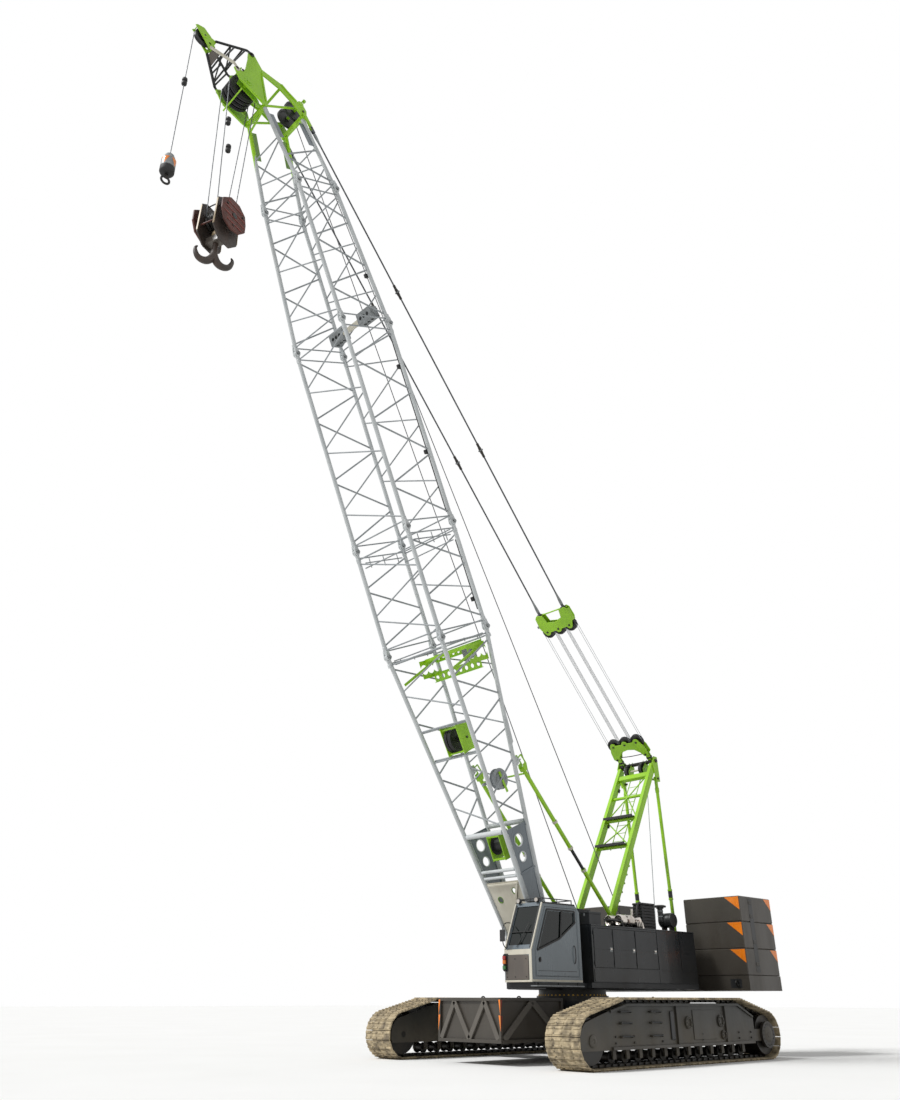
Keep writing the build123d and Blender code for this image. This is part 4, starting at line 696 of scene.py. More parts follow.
def counterweightSide(spec):
    x0, x1, y0, y1 = spec["rear"], spec["front"], spec["inner"], spec["outer"]
    parts = []
    for low, high in zip(spec["levels"], spec["levels"][1:]):
        parts.append(slab((x0 + 0.004, y0, low + 0.003), (x1, y1, high), "ballastPaint", 0.018))
        for x in (x0 + 0.3, x1 - 0.3):
            parts.append(slab((x - 0.09, y0 + 0.5, high - 0.012), (x + 0.09, y0 + 0.68, high - 0.001), "greasySteel",
                0.004))
    for top in spec["levels"][1:]:
        z = top - 0.02
        mark = y1 - 0.02
        parts += [reflector([(mark - 0.44, z), (mark, z), (mark, z - 0.34)], x1, x1 + 0.002, "x"),
            reflector([(x0 + 0.02, z), (x0 + 0.36, z), (x0 + 0.02, z - 0.3)], y1 - 0.001, y1 + 0.002, "y"),
            reflector([(y1 - 0.46, z), (y1 - 0.02, z), (y1 - 0.02, z - 0.34)], x0 + 0.001, x0 + 0.005, "x")]
    # upright channel in the outer face, drawn as a black strip that is painted shade, with the tie bar that locks the
    # slabs
    parts.append(slab((-4.42, y1 - 0.01, 2.0), (-4.22, y1 + 0.003, 3.86), "sheaveBlack", 0.001))
    for z in (2.2, 2.75, 3.4, 3.75):
        parts.append(slab((-4.4, y1 - 0.02, z - 0.05), (-4.24, y1 + 0.012, z + 0.05), "greasySteel", 0.008))
    # pocket in the base, a black sheet as its painted shade, and its shackle
    parts.append(slab((x1 - 0.004, 2.38, 1.62), (x1 + 0.001, 2.72, 1.84), "sheaveBlack", 0))
    shackle = spun([(0.045, -0.016), (0.075, -0.016), (0.075, 0.016), (0.045, 0.016)], "greasySteel", 20)
    parts.append(moved(shackle, shift(x1 + 0.03, 2.6, 1.74)))
    parts.append(slab((x1 - 0.002, 2.56, 1.66), (x1 + 0.06, 2.64, 1.7), "greasySteel", 0.008))
    return parts


half = merged(counterweightSide(stack))
piece("counterweightStack", [half, again(half, otherSide)], "upper", upperFrame, ["counterweight_slabs"])
print("ballast done")

# Machinery house: pressed panels, latches, louvres and roof gear
house = {"y": 1.683, "rear": -3.31, "front": 1.16, "edges": (1.1, 0.33, -0.6, -1.53), "split": 2.45, "low": 2.03,
    "high": 2.93, "proud": 0.007}


def pressedPanel(x0, x1, z0, z1, y, proud, finish="charcoalGloss"):
    # sheet whose middle stands proud behind a sloping border
    low, high = sorted((y - 0.002, y + proud))
    side = 1 if proud > 0 else -1
    bpy.ops.mesh.primitive_cube_add(size=1, location=((x0 + x1) / 2, (low + high) / 2, (z0 + z1) / 2),
        scale=(x1 - x0, high - low, z1 - z0))
    obj = settle(bpy.context.object)
    for face in obj.data.polygons:
        face.select = face.normal.y * side > 0.9
    pick(obj)
    bpy.ops.object.mode_set(mode="EDIT")
    bpy.ops.mesh.inset(thickness=0.014, depth=0.004)
    bpy.ops.object.mode_set(mode="OBJECT")
    return coat(obj, finish)


def latch(x, y, z):
    # paddle latch in its dished plate
    return [slab((x - 0.05, y, z - 0.05), (x + 0.05, y + 0.008, z + 0.05), "galvanised", 0.003),
        slab((x - 0.035, y + 0.006, z - 0.012), (x + 0.035, y + 0.02, z + 0.03), "brightSteel", 0.005)]


for i, (high, low) in enumerate(zip(house["edges"], house["edges"][1:])):
    x0, x1 = low + 0.035, high - 0.02
    skins = [pressedPanel(x0, x1, house["split"] + 0.008, house["high"] - 0.02, house["y"], house["proud"]),
        pressedPanel(x0, x1, house["low"] + 0.02, house["split"] - 0.008, house["y"], house["proud"])]
    piece(f"doorSkin{i + 1}", skins + latch(low + 0.09, house["y"] + 0.006, house["split"]), f"housing_door_{i + 1}",
        upperFrame)


def houseSkins(spec):
    parts = []
    rearX, edge = spec["rear"], spec["edges"][-1]
    for x0, x1 in ((rearX + 0.04, rearX + 0.72), (rearX + 0.76, edge - 0.03)):
        parts.append(pressedPanel(x0, x1, 2.03, spec["split"] - 0.01, spec["y"], spec["proud"]))
        parts.append(pressedPanel(x0, x1, spec["split"] + 0.01, 2.95, spec["y"], spec["proud"]))
    for a, b in ((rearX + 0.04, -1.55), (-1.53, spec["front"] - 0.04)):
        parts.append(pressedPanel(a, b, 1.73, 1.99, spec["y"], spec["proud"]))
    # right side
    marks = (rearX + 0.04, -2.5, -1.7, -0.9, -0.1, 0.66)
    for a, b in zip(marks, marks[1:]):
        parts.append(pressedPanel(a + 0.015, b - 0.015, 2.03, 2.95, -spec["y"], -spec["proud"]))
        parts.append(pressedPanel(a + 0.015, b - 0.015, 1.73, 1.99, -spec["y"], -spec["proud"]))
        parts += [moved(p, otherSide) for p in latch((a + b) / 2, spec["y"] + 0.005, 2.45)]
    # drip rail, kick rail and roof seams
    for side in (1, -1):
        front = spec["front"] if side > 0 else 0.7
        low, high = span(side, spec["y"] - 0.01, spec["y"] + 0.012)
        parts.append(slab((rearX, low, 2.975), (front, high, 3.004), "charcoalGloss"))
        parts.append(slab((rearX, low, 1.7), (front, high, 1.722), "charcoalSatin"))
        inner, outer = span(side, 1.0, 1.66)
        for x in (-2.3, -1.2, -0.1):
            parts.append(slab((x - 0.015, inner, 3.0), (x + 0.015, outer, 3.006), "charcoalSatin"))
    # louvred radiator grille in the rear wall
    for side in (1, -1):
        inner, outer = span(side, 1.06, 1.6)
        for k in range(12):
            z = 1.95 + k * 0.08
            parts.append(flatBar((rearX - 0.012, inner, z), (rearX - 0.012, outer, z), 0.05, 0.012, "blackRubber",
                (1, 0, 1)))
    return parts


piece("houseSkins", houseSkins(house), "upper", upperFrame)
roof = {"drumX": -0.775, "drumY": (1.06, 1.385), "drumZ": 3.19, "radius": 0.14, "half": 0.425}


def bentBar(points, depth, smooth, resolution, sides, order):
    # bar of (x, y, z, radius factor) points along a curve
    curve = bpy.data.curves.new("bar", "CURVE")
    curve.dimensions = "3D"
    curve.bevel_depth, curve.bevel_resolution, curve.resolution_u, curve.use_fill_caps = depth, sides, resolution, True
    spline = curve.splines.new("NURBS")
    spline.points.add(len(points) - 1)
    for spot, (x, y, z, radius) in zip(spline.points, points):
        spot.co, spot.radius = (x, y, z, 1), radius
    spline.order_u, spline.use_endpoint_u = order, True
    pick(shown(bpy.data.objects.new("bar", curve)))
    bpy.ops.object.convert(target="MESH")
    obj = bpy.context.view_layer.objects.active
    pick(obj)
    smooth()
    return obj


def hose(points, radius, finish, sides=3):
    # bent pipe or fixed hose through the points
    def smooth():
        bpy.ops.object.shade_smooth_by_angle(angle=math.radians(50))

    return coat(bentBar([(*point, 1) for point in points], radius, smooth, 6, sides, min(4, len(points))), finish)


def silencers(spec):
    radius, half = spec["radius"], spec["half"]
    drum = spun([(0.03, -half + 0.05), (0.085, -half + 0.05), (0.085, -half + 0.02), (radius - 0.02, -half),
        (radius, -half + 0.02), (radius, -0.12), (radius + 0.006, -0.11), (radius + 0.006, -0.08), (radius, -0.07),
        (radius, 0.2), (radius + 0.006, 0.21), (radius + 0.006, 0.24), (radius, 0.25), (radius, half - 0.02),
        (radius - 0.02, half), (0.085, half - 0.02), (0.085, half - 0.05), (0.03, half - 0.05)], "brightSteel", 36)
    drum.data.transform(Matrix.Rotation(-math.pi / 2, 4, "Z"))
    parts = []
    for y in spec["drumY"]:
        parts.append(again(drum, shift(spec["drumX"], y, spec["drumZ"])))
        for x in (spec["drumX"] - 0.3, spec["drumX"] + 0.3):
            parts.append(slab((x - 0.03, y - 0.08, 3.003), (x + 0.03, y + 0.08, 3.07), "greasySteel"))
        end = spec["drumX"] + half
        parts.append(roundBar((end - 0.06, y, spec["drumZ"]), (end + 0.03, y, spec["drumZ"]), 0.05, "greasySteel", 18))
    bpy.data.objects.remove(drum)
    y0, y1 = spec["drumY"]
    x, z = spec["drumX"], spec["drumZ"]
    for k in range(4):
        start = x - half + 0.04 + k * 0.07
        parts.append(hose([(start, y1 + 0.1, z + 0.06), (start - 0.02, y1 + 0.16, z - 0.02),
            (start - 0.03, y1 + 0.17, z - 0.12), (start - 0.03, y1 + 0.13, 3.02)], 0.012, "brightSteel"))
    parts += [hose([(x - half, y1, z), (x - half - 0.1, y1, z), (x - half - 0.17, y1 - 0.02, z + 0.02),
            (x - half - 0.2, y1, z - 0.12), (x - half - 0.2, y1, 3.0)], 0.05, "brightSteel"),
        hose([(x - half, y0, z), (x - half - 0.12, y0, z), (x - half - 0.2, y0, z + 0.05),
            (x - half - 0.22, y0, z + 0.2), (x - half - 0.24, y0, z + 0.34)], 0.045, "brightSteel"),
        hose([(x + half + 0.03, y0, z), (x + half + 0.12, y0, z), (x + half + 0.16, y0 + 0.1, z),
            (x + half + 0.14, y1, z), (x + half + 0.03, y1, z)], 0.04, "greasySteel")]
    return parts


def airCleaner():
    # steel can lying across the roof, with clips, and a mushroom cap on its intake
    can = spun([(0, 1.08), (0.13, 1.08), (0.18, 1.1), (0.19, 1.12), (0.19, 1.2), (0.183, 1.21), (0.183, 1.25),
        (0.19, 1.26), (0.19, 1.4), (0.183, 1.41), (0.183, 1.44), (0.19, 1.45), (0.178, 1.49), (0.06, 1.5), (0, 1.5)],
        "sheaveBlack", 36)
    parts = [moved(can, shift(-2.71, 0, 3.3))]
    cap = spun([(0, -0.065), (0.1, -0.065), (0.1, -0.03), (0.165, -0.03), (0.175, -0.015), (0.172, 0.01), (0.12, 0.028),
        (0, 0.032)], "sheaveBlack")
    parts.append(moved(cap, shift(-2.53, 1.2, 3.663) @ upright))
    parts.append(roundBar((-2.53, 1.2, 3.28), (-2.53, 1.2, 3.61), 0.075, "sheaveBlack", 20))
    for z in (3.38, 3.52):
        parts.append(roundBar((-2.53, 1.2, z), (-2.53, 1.2, z + 0.03), 0.082, "galvanised", 20, 0.05))
    parts.append(slab((-2.7, 1.13, 3.24), (-2.5, 1.27, 3.34), "sheaveBlack", 0.02))
    for y in (1.17, 1.41):
        parts.append(slab((-2.82, y - 0.02, 3.003), (-2.6, y + 0.02, 3.14), "greasySteel", 0.005))
    return parts


def roofBoxes():
    # black cooler box: ribbed shell, top lid, hoses
    parts = [slab((-1.97, 1.09, 3.004), (-1.41, 1.42, 3.62), "blackRubber", 0.02),
        slab((-1.98, 1.08, 3.62), (-1.4, 1.43, 3.68), "blackRubber", 0.02)]
    for k in range(7):
        z = 3.09 + k * 0.075
        parts.append(flatBar((-1.94, 1.424, z), (-1.44, 1.424, z), 0.03, 0.01, "sheaveBlack", (0, 1, 1)))
        parts.append(flatBar((-1.402, 1.12, z), (-1.402, 1.4, z), 0.03, 0.01, "sheaveBlack", (1, 0, 1)))
    parts.append(hose([(-1.5, 1.3, 3.66), (-1.5, 1.3, 3.7), (-1.35, 1.3, 3.68), (-1.25, 1.32, 3.4),
        (-1.25, 1.32, 3.02)], 0.03, "blackRubber"))
    # grey tool boxes behind the cab, with lids and hasps
    for y0, y1, z in ((1.0, 1.28, 3.38), (1.31, 1.62, 3.3)):
        parts += [slab((0.66, y0, 3.004), (1.12, y1, z), "charcoalSatin", 0.01),
            slab((0.65, y0 - 0.008, z - 0.05), (1.13, y1 + 0.008, z + 0.01), "charcoalSatin", 0.008),
            slab((1.12, (y0 + y1) / 2 - 0.02, z - 0.1), (1.14, (y0 + y1) / 2 + 0.02, z - 0.03), "galvanised")]
    # handrail round the walkway on the roof
    for x in (-0.2, 0.55):
        parts.append(roundBar((x, 1.64, 3.0), (x, 1.64, 3.16), 0.014, "charcoalSatin", 10))
    parts.append(roundBar((-0.22, 1.64, 3.15), (0.57, 1.64, 3.15), 0.014, "charcoalSatin", 10))
    return parts


piece("silencerPair", silencers(roof), "upper", upperFrame, ["silencers"])
piece("airCleaner", airCleaner(), "upper", upperFrame, ["air_filter"])
piece("roofGear", roofBoxes(), "upper", upperFrame, ["roof_boxes"])
print("machinery house done")


# Cab: window frames, sill, front panel, roof rail, mirrors, lamps, steps
cab = {"rear": 1.45, "front": 3.24, "left": 1.567, "right": 0.7, "low": 1.69, "top": 3.43, "sill": 2.38, "brow": 2.8}


def cabTrim(spec):
    front, sill, left, right, brow, top = (spec[key] for key in ("front", "sill", "left", "right", "brow", "top"))
    lean = Vector((brow - front, 0, top - sill)).normalized()
    outward = Vector((lean.z, 0, -lean.x))

    def pane(part, y):
        return Vector((front, y, sill)) + lean * part + outward * 0.004

    parts = []
    across = Vector((0, 1, 0))
    # black surround of the windscreen with its top visor
    long = (Vector((brow, 0, top)) - Vector((front, 0, sill))).length
    ends = [pane(0.04, right + 0.05),
        pane(0.04, left - 0.05),
        pane(long - 0.05, left - 0.05),
        pane(long - 0.05, right + 0.05)]
    for a, b in closed(ends):
        parts.append(flatBar(a, b, 0.055 if abs(a.y - b.y) < 0.1 else 0.02, 0.02 if abs(a.y - b.y) < 0.1 else 0.055,
            "blackRubber", across))
    parts += [
        flatBar(pane(0.42, right + 0.07), pane(0.42, left - 0.07), 0.02, 0.02, "blackRubber", (1, 0, 0)),
        # wiper
        flatBar(pane(0.05, 1.1) + outward * 0.02, pane(0.62, 1.32) + outward * 0.02, 0.014, 0.01, "blackRubber",
            across),
        # cream sill and left lower pillar, brown panel between them
        outlinePlate([(right, sill - 0.11), (left, sill - 0.11), (left, sill + 0.005), (right, sill + 0.005)],
            front - 0.002, front + 0.012, "x", "creamEnamel"),
        outlinePlate([(left - 0.085, 1.7), (left, 1.7), (left, sill - 0.11), (left - 0.085, sill - 0.11)],
            front - 0.002, front + 0.012, "x", "creamEnamel"),
        outlinePlate([(right + 0.03, 1.74), (left - 0.1, 1.74), (left - 0.1, sill - 0.13), (left - 0.3, sill - 0.115),
            (right + 0.2, sill - 0.115), (right + 0.03, sill - 0.15)], front - 0.002, front + 0.018, "x", "panelBrown",
            0.008),
        outlinePlate([(right, 1.69), (left, 1.69), (left, 1.735), (right, 1.735)], front - 0.002, front + 0.01, "x",
            "creamEnamel"),
    ]
    for y in (right + 0.09, 1.05, left - 0.17):
        for z in (1.8, sill - 0.2):
            parts.append(roundBar((front + 0.015, y, z), (front + 0.026, y, z), 0.014, "blackRubber", 10, 0))
    # slanted front pillars, cream on the outside edge
    for y in (left - 0.014, right + 0.014):
        parts.append(flatBar((front + 0.004, y, sill), (brow + 0.004, y, top - 0.01), 0.034, 0.03, "creamEnamel",
            across))
    # right wall window surround
    y = right - 0.004
    window = [(1.69, y, 2.34), (2.71, y, 2.34), (2.71, y, 3.2), (1.69, y, 3.2)]
    parts += [flatBar(a, b, 0.012, 0.05, "blackRubber", across) for a, b in closed([Vector(w) for w in window])]
    # rear wall window surround
    x = spec["rear"] - 0.004
    window = [(x, 0.78, 2.34), (x, 1.49, 2.34), (x, 1.49, 3.16), (x, 0.78, 3.16)]
    parts += [flatBar(a, b, 0.012, 0.05, "blackRubber", (1, 0, 0)) for a, b in closed([Vector(w) for w in window])]
    # door post behind the door, cream lower edge
    parts.append(slab((1.452, left - 0.003, 1.72), (1.55, left + 0.006, 3.24), "slateEnamel", 0.003))
    parts.append(slab((1.46, left - 0.002, 1.7), (front, left + 0.01, 1.745), "creamEnamel", 0.003))
    # roof: gutter, hatch, rail, beacon, work lamps
    for y in (left, right):
        parts.append(slab((1.62, y - 0.03, top - 0.03), (brow, y + 0.012, top + 0.004), "blackRubber", 0.008))
    parts.append(slab((1.95, 0.88, top), (2.55, 1.39, top + 0.03), "charcoalSatin", 0.01))
    rail = [(1.68, right + 0.04), (brow - 0.04, right + 0.04), (brow - 0.04, left - 0.04), (1.68, left - 0.04)]
    for (ax, ay), (bx, by) in closed(rail):
        parts += [roundBar((ax, ay, top + 0.09), (bx, by, top + 0.09), 0.013, "charcoalSatin", 10),
            roundBar((ax, ay, top - 0.02), (ax, ay, top + 0.1), 0.013, "charcoalSatin", 10),
            roundBar(((ax + bx) / 2, (ay + by) / 2, top - 0.01), ((ax + bx) / 2, (ay + by) / 2, top + 0.09), 0.011,
                "charcoalSatin", 10)]
    for y in (right + 0.14, left - 0.14):
        lamp = spun([(0, -0.05), (0.05, -0.05), (0.062, -0.02), (0.062, 0.03), (0.055, 0.035), (0, 0.035)],
            "blackRubber", 20)
        lamp.data.transform(shift(brow + 0.03, y, top + 0.05) @ Matrix.Rotation(-math.pi / 2, 4, "Z"))
        parts.append(lamp)
        lens = spun([(0, 0), (0.05, 0), (0.046, 0.01), (0, 0.014)], "brightSteel", 20)
        lens.data.transform(shift(brow + 0.065, y, top + 0.05) @ Matrix.Rotation(-math.pi / 2, 4, "Z"))
        parts.append(lens)
    # mirror on its arm at the right front corner, clear of the boom
    y = right + 0.1
    parts += [hose([(front, y - 0.04, 2.42), (front + 0.12, y - 0.02, 2.46), (front + 0.17, y, 2.6),
            (front + 0.17, y, 2.86), (front + 0.06, y - 0.02, 3.0), (front - 0.17, y - 0.04, 2.98)], 0.011,
            "blackRubber"),
        slab((front + 0.15, y - 0.08, 2.56), (front + 0.185, y + 0.08, 2.82), "blackRubber", 0.014),
        slab((front + 0.145, y - 0.068, 2.575), (front + 0.152, y + 0.068, 2.805), "brightSteel", 0.002)]
    # stack of signal lamps at the right front corner
    bracket = right + 0.02
    parts.append(slab((front, bracket - 0.03, 1.92), (front + 0.03, bracket + 0.1, 2.3), "blackRubber"))
    for z, lens in ((2.21, "redLens"), (2.12, "amberLens"), (2.0, "greenLens")):
        parts.append(roundBar((front + 0.07, bracket + 0.03, z - 0.04), (front + 0.07, bracket + 0.03, z + 0.04), 0.045,
            lens, 18))
    parts.append(roundBar((front + 0.07, bracket + 0.03, 1.93), (front + 0.07, bracket + 0.03, 2.28), 0.03,
        "blackRubber"))
    # step plate below the door with its toe rail
    parts.append(slab((1.5, left - 0.1, 1.6), (3.2, left + 0.09, 1.625), "galvanised", 0.004))
    for x in (1.6, 2.3, 3.0):
        parts.append(slab((x, left - 0.12, 1.625), (x + 0.03, left, 1.69), "charcoalSatin", 0.004))
    return parts


def doorTrim(spec):
    left = spec["left"]
    # shaped skin: the lower edge of the glass rises towards the rear
    parts = [outlinePlate([(1.6, 1.83), (3.1, 1.83), (3.105, 2.37), (3.03, 2.36), (2.25, 2.62), (1.66, 3.0),
        (1.6, 3.02)], left - 0.002, left + 0.008, "y", "slateEnamel")]
    glassEdge = [(1.64, 3.01), (2.25, 2.63), (3.05, 2.36), (2.66, 3.27), (1.64, 3.27)]
    for (ax, az), (bx, bz) in closed(glassEdge):
        parts.append(flatBar((ax, left + 0.006, az), (bx, left + 0.006, bz), 0.014, 0.04, "blackRubber"))
    parts += [
        flatBar((2.2, left + 0.004, 2.64), (2.12, left + 0.004, 3.26), 0.014, 0.05, "blackRubber"),
        # handle in its black dish, pull rail, seam near the bottom
        moved(spun([(0, 0), (0.055, 0), (0.05, 0.006), (0.02, 0.003), (0, 0.003)], "blackRubber", 20),
            shift(2.97, left + 0.006, 2.16)),
        slab((2.945, left + 0.008, 2.13), (2.975, left + 0.03, 2.22), "blackRubber"),
        slab((1.66, left + 0.006, 1.925), (3.06, left + 0.011, 1.935), "charcoalSatin", 0.001),
        hose([(1.72, left + 0.004, 2.1), (1.72, left + 0.05, 2.12), (1.72, left + 0.055, 2.3),
            (1.72, left + 0.05, 2.48), (1.72, left + 0.004, 2.5)], 0.011, "blackRubber"),
    ]
    return parts


piece("cabTrim", cabTrim(cab), "upper", upperFrame)
piece("cabDoorTrim", doorTrim(cab), "cab_door", upperFrame)
print("cab done")


# Gantry: ladder, walkways, clamps, guide sheaves
gantry = {"foot": (-0.35, 2.1), "top": (-3.79, 8.0), "half": 0.6, "depth": 0.1, "bars": (3.73, 4.7, 5.54, 6.3)}
gantryRun = Vector((gantry["top"][0] - gantry["foot"][0], 0, gantry["top"][1] - gantry["foot"][1]))
gantryTilt = math.atan2(gantryRun.z, gantryRun.x)
gantryFrame = upperFrame @ shift(gantry["foot"][0], 0, gantry["foot"][1]) @ Matrix.Rotation(-gantryTilt, 4, "Y")
gantryTop = upperFrame @ shift(gantry["top"][0], 0, gantry["top"][1])


def groovedSheave(radius, half, bore, finish="sheaveBlack", grooves=1, steps=40):
    # wheel on the Y axis with rope grooves, dished web and hub
    profile = [(bore, -half), (bore + 0.04, -half), (bore + 0.045, -half * 0.45), (radius * 0.78, -half * 0.4),
        (radius * 0.82, -half)]
    width = 2 * half / grooves
    for k in range(grooves):
        left = -half + k * width
        profile += [(radius, left + width * 0.02), (radius, left + width * 0.12), (radius * 0.9, left + width * 0.5),
            (radius, left + width * 0.88)]
    profile += [(radius, half * 0.98), (radius * 0.82, half), (radius * 0.78, half * 0.4), (bore + 0.045, half * 0.45),
        (bore + 0.04, half), (bore, half)]
    return spun(profile, finish, steps)


def ladder(start, end, half, step, finish, rail=0.018):
    # two rails and their rungs in the XZ plane, rungs across
    start, end = Vector(start), Vector(end)
    run = end - start
    parts = [roundBar(start + Vector((0, y, 0)), end + Vector((0, y, 0)), rail, finish, 10) for y in (-half, half)]
    count = int(run.length / step)
    for k in range(1, count):
        spot = start + run * (k / count)
        parts.append(roundBar(spot - Vector((0, half, 0)), spot + Vector((0, half, 0)), rail * 0.6, finish, 8, 0))
    return parts


def gantryDetail(spec):
    # in the leg's frame: X up the leg, Z towards the boom
    half, depth, bars = spec["half"], spec["depth"], spec["bars"]
    parts = ladder((bars[0], 0, 0.1), (bars[3], 0, 0.1), 0.19, 0.27, "limeEnamel", 0.014)
    for a, b in ((bars[0], bars[1]), (bars[1], bars[3])):
        parts.append(roundBar((a, -half + 0.05, -0.03), (b, half - 0.05, -0.03), 0.02, "limeEnamel", 10))
        parts.append(roundBar((a, half - 0.05, 0.015), (b, -half + 0.05, 0.015), 0.02, "limeEnamel", 10))
    parts.append(slab((bars[3] - 0.08, -half + 0.056, -0.07), (bars[3] + 0.09, half - 0.056, 0.07), "limeEnamel",
        0.012))
    for x in bars[:2]:
        # walkway grate between its black toe plates, held level
        level = shift(x, 0, 0.0) @ Matrix.Rotation(gantryTilt, 4, "Y")
        walk = [slab((-0.2, -half + 0.06, 0.045), (0.2, half - 0.06, 0.06), "galvanised", 0.002),
            slab((-0.21, -half + 0.06, 0.03), (-0.19, half - 0.06, 0.1), "blackRubber", 0.003),
            slab((0.19, -half + 0.06, 0.03), (0.21, half - 0.06, 0.1), "blackRubber", 0.003)]
        for k in range(9):
            y = -half + 0.13 + k * (2 * half - 0.26) / 8
            walk.append(slab((-0.19, y - 0.012, 0.058), (0.19, y + 0.012, 0.07), "charcoalSatin", 0))
        parts += [moved(w, level) for w in walk]
    for side in (-1, 1):
        low, high = span(side, half - 0.085, half - 0.054)
        for x in (4.62, 4.86, 5.95):
            # clamp of the light cable
            parts.append(slab((x - 0.06, low, 0.06), (x + 0.06, high, depth + 0.03), "blackRubber"))
        outer = side * (half + 0.055)
        low, high = sorted((outer - side * 0.004, outer + side * 0.006))
        for a, b in ((0.5, 1.9), (2.2, 3.9), (4.3, 6.1)):
            # welded cover strips along the leg
            parts.append(outlinePlate([(a, -0.06), (b, -0.06), (b + 0.08, 0), (b, 0.06), (a, 0.06), (a - 0.08, 0)], low,
                high, "y", "limeEnamel"))
    for k in range(10):
        # steps up the leg beside the cab
        x = 0.9 + k * 0.28
        parts.append(hose([(x, half - 0.05, depth - 0.02), (x, half - 0.05, depth + 0.1), (x, half + 0.05, depth + 0.1),
            (x, half + 0.05, depth - 0.02)], 0.013, "limeEnamel", 2))
    return parts


piece("gantryDetail", gantryDetail(gantry), "upper", gantryFrame)
guides = []
guide = groovedSheave(0.2, 0.045, 0.03)
for y in (-0.27, 0.27):
    guides.append(again(guide, shift(0.13, y, -0.22)))
    for side in (-1, 1):
        low, high = sorted((y + side * 0.055, y + side * 0.07))
        guides.append(outlinePlate([(-0.02, 0.1), (-0.1, -0.1), (0.06, -0.45), (0.2, -0.45), (0.22, -0.2),
            (0.1, -0.06)], low, high, "y", "limeEnamel"))
bpy.data.objects.remove(guide)
guides.append(shaft(0.13, -0.22, -0.36, 0.36, 0.028, "creamEnamel", 16))
piece("guideSheaves", guides, "upper", gantryTop)

# Rear legs: dark joint, clevis pins and lock nuts
rearLeg = {"foot": (-4.08, 2.3), "top": (-3.823, 7.456), "half": 0.6}
parts = []
start, end = Vector((rearLeg["foot"][0], 0, rearLeg["foot"][1])), Vector((rearLeg["top"][0], 0, rearLeg["top"][1]))
along = (end - start).normalized()
for side in (-1, 1):
    at = Vector((0, side * rearLeg["half"], 0))
    for low, high, radius, finish in ((0.25, 0.42, 0.062, "limeEnamel"), (1.72, 1.9, 0.062, "blackRubber"),
            (1.66, 1.72, 0.068, "limeEnamel"), (1.9, 1.96, 0.068, "limeEnamel"), (4.75, 4.9, 0.062, "limeEnamel")):
        parts.append(roundBar(start + at + along * low, start + at + along * high, radius, finish, 18))
piece("rearLegDetail", parts, "upper", upperFrame)

# Reeving: the sheaves lie flat between scalloped plates, three to a block
reeve = {"spacing": 0.44, "radius": 0.215, "reach": 0.79, "hole": 0.03}
bridleAt = Vector((slewX - 0.33, 0, 11.72))
blockRun = bridleAt - gantryTop.translation
blockFrame = gantryTop @ Matrix.Rotation(-math.atan2(blockRun.z, blockRun.x), 4, "Y")
headPin = boomFrame @ Vector((24.42, 0, 0.8))
bridleRun = headPin - bridleAt
bridleFrame = Matrix.Translation(bridleAt) @ Matrix.Rotation(-math.atan2(bridleRun.z, bridleRun.x), 4, "Y")


def lobes(centre, radius, spacing, direction):
    # scalloped edge round three pins, from -Y to +Y
    points = []
    for y in (-spacing, 0, spacing):
        for k in range(7):
            turn = math.radians(-75 + 25 * k)
            points.append((centre + direction * radius * math.cos(turn), y + radius * math.sin(turn)))
    return points


def flatSheaves(spec, centre):
    parts = []
    for y in (-spec["spacing"], 0, spec["spacing"]):
        wheel = groovedSheave(spec["radius"], 0.055, spec["hole"], "sheaveBlack", 2)
        wheel.data.transform(shift(centre, y, 0) @ upright)
        parts.append(wheel)
        parts.append(roundBar((centre, y, -0.13), (centre, y, 0.13), 0.032, "greasySteel", 16))
    return parts


def hangerBlock(spec):
    centre, parts = spec["reach"], flatSheaves(spec, spec["reach"])
    body = [(0.36, 0.66), (0.3, 0.6), (0.28, 0.47), (0.42, 0.4), (0.56, 0.24), (0.6, 0), (0.56, -0.24), (0.42, -0.4),
        (0.28, -0.47), (0.3, -0.6), (0.36, -0.66), (0.6, -0.64)]
    outline = lobes(centre, 0.115, spec["spacing"], 1) + [(0.6, 0.64)] + body
    for side in (-1, 1):
        low, high = span(side, 0.08, 0.105)
        parts.append(outlinePlate(outline, low, high, "z", "limeEnamel", 0.006))
    for y in (-0.54, 0.54):
        for z in (-0.045, 0.045):
            parts.append(flatBar((-0.04, y, z), (0.36, y, z), 0.13, 0.028, "limeEnamel"))
        parts += [moved(spun([(0.057, -0.05), (0.12, -0.05), (0.12, 0.05), (0.057, 0.05)], "greasySteel", 24),
                shift(0, y, 0)),
            roundBar((0.33, y, -0.13), (0.33, y, 0.13), 0.035, "blackRubber", 16),
            slab((0.14, y - 0.07, -0.07), (0.2, y + 0.07, 0.07), "blackRubber", 0.008)]
    parts.append(hose([(0.34, -0.45, 0.02), (0.3, -0.2, 0.02), (0.29, 0.2, 0.02), (0.32, 0.45, 0.02)], 0.013,
        "charcoalSatin"))
    return parts


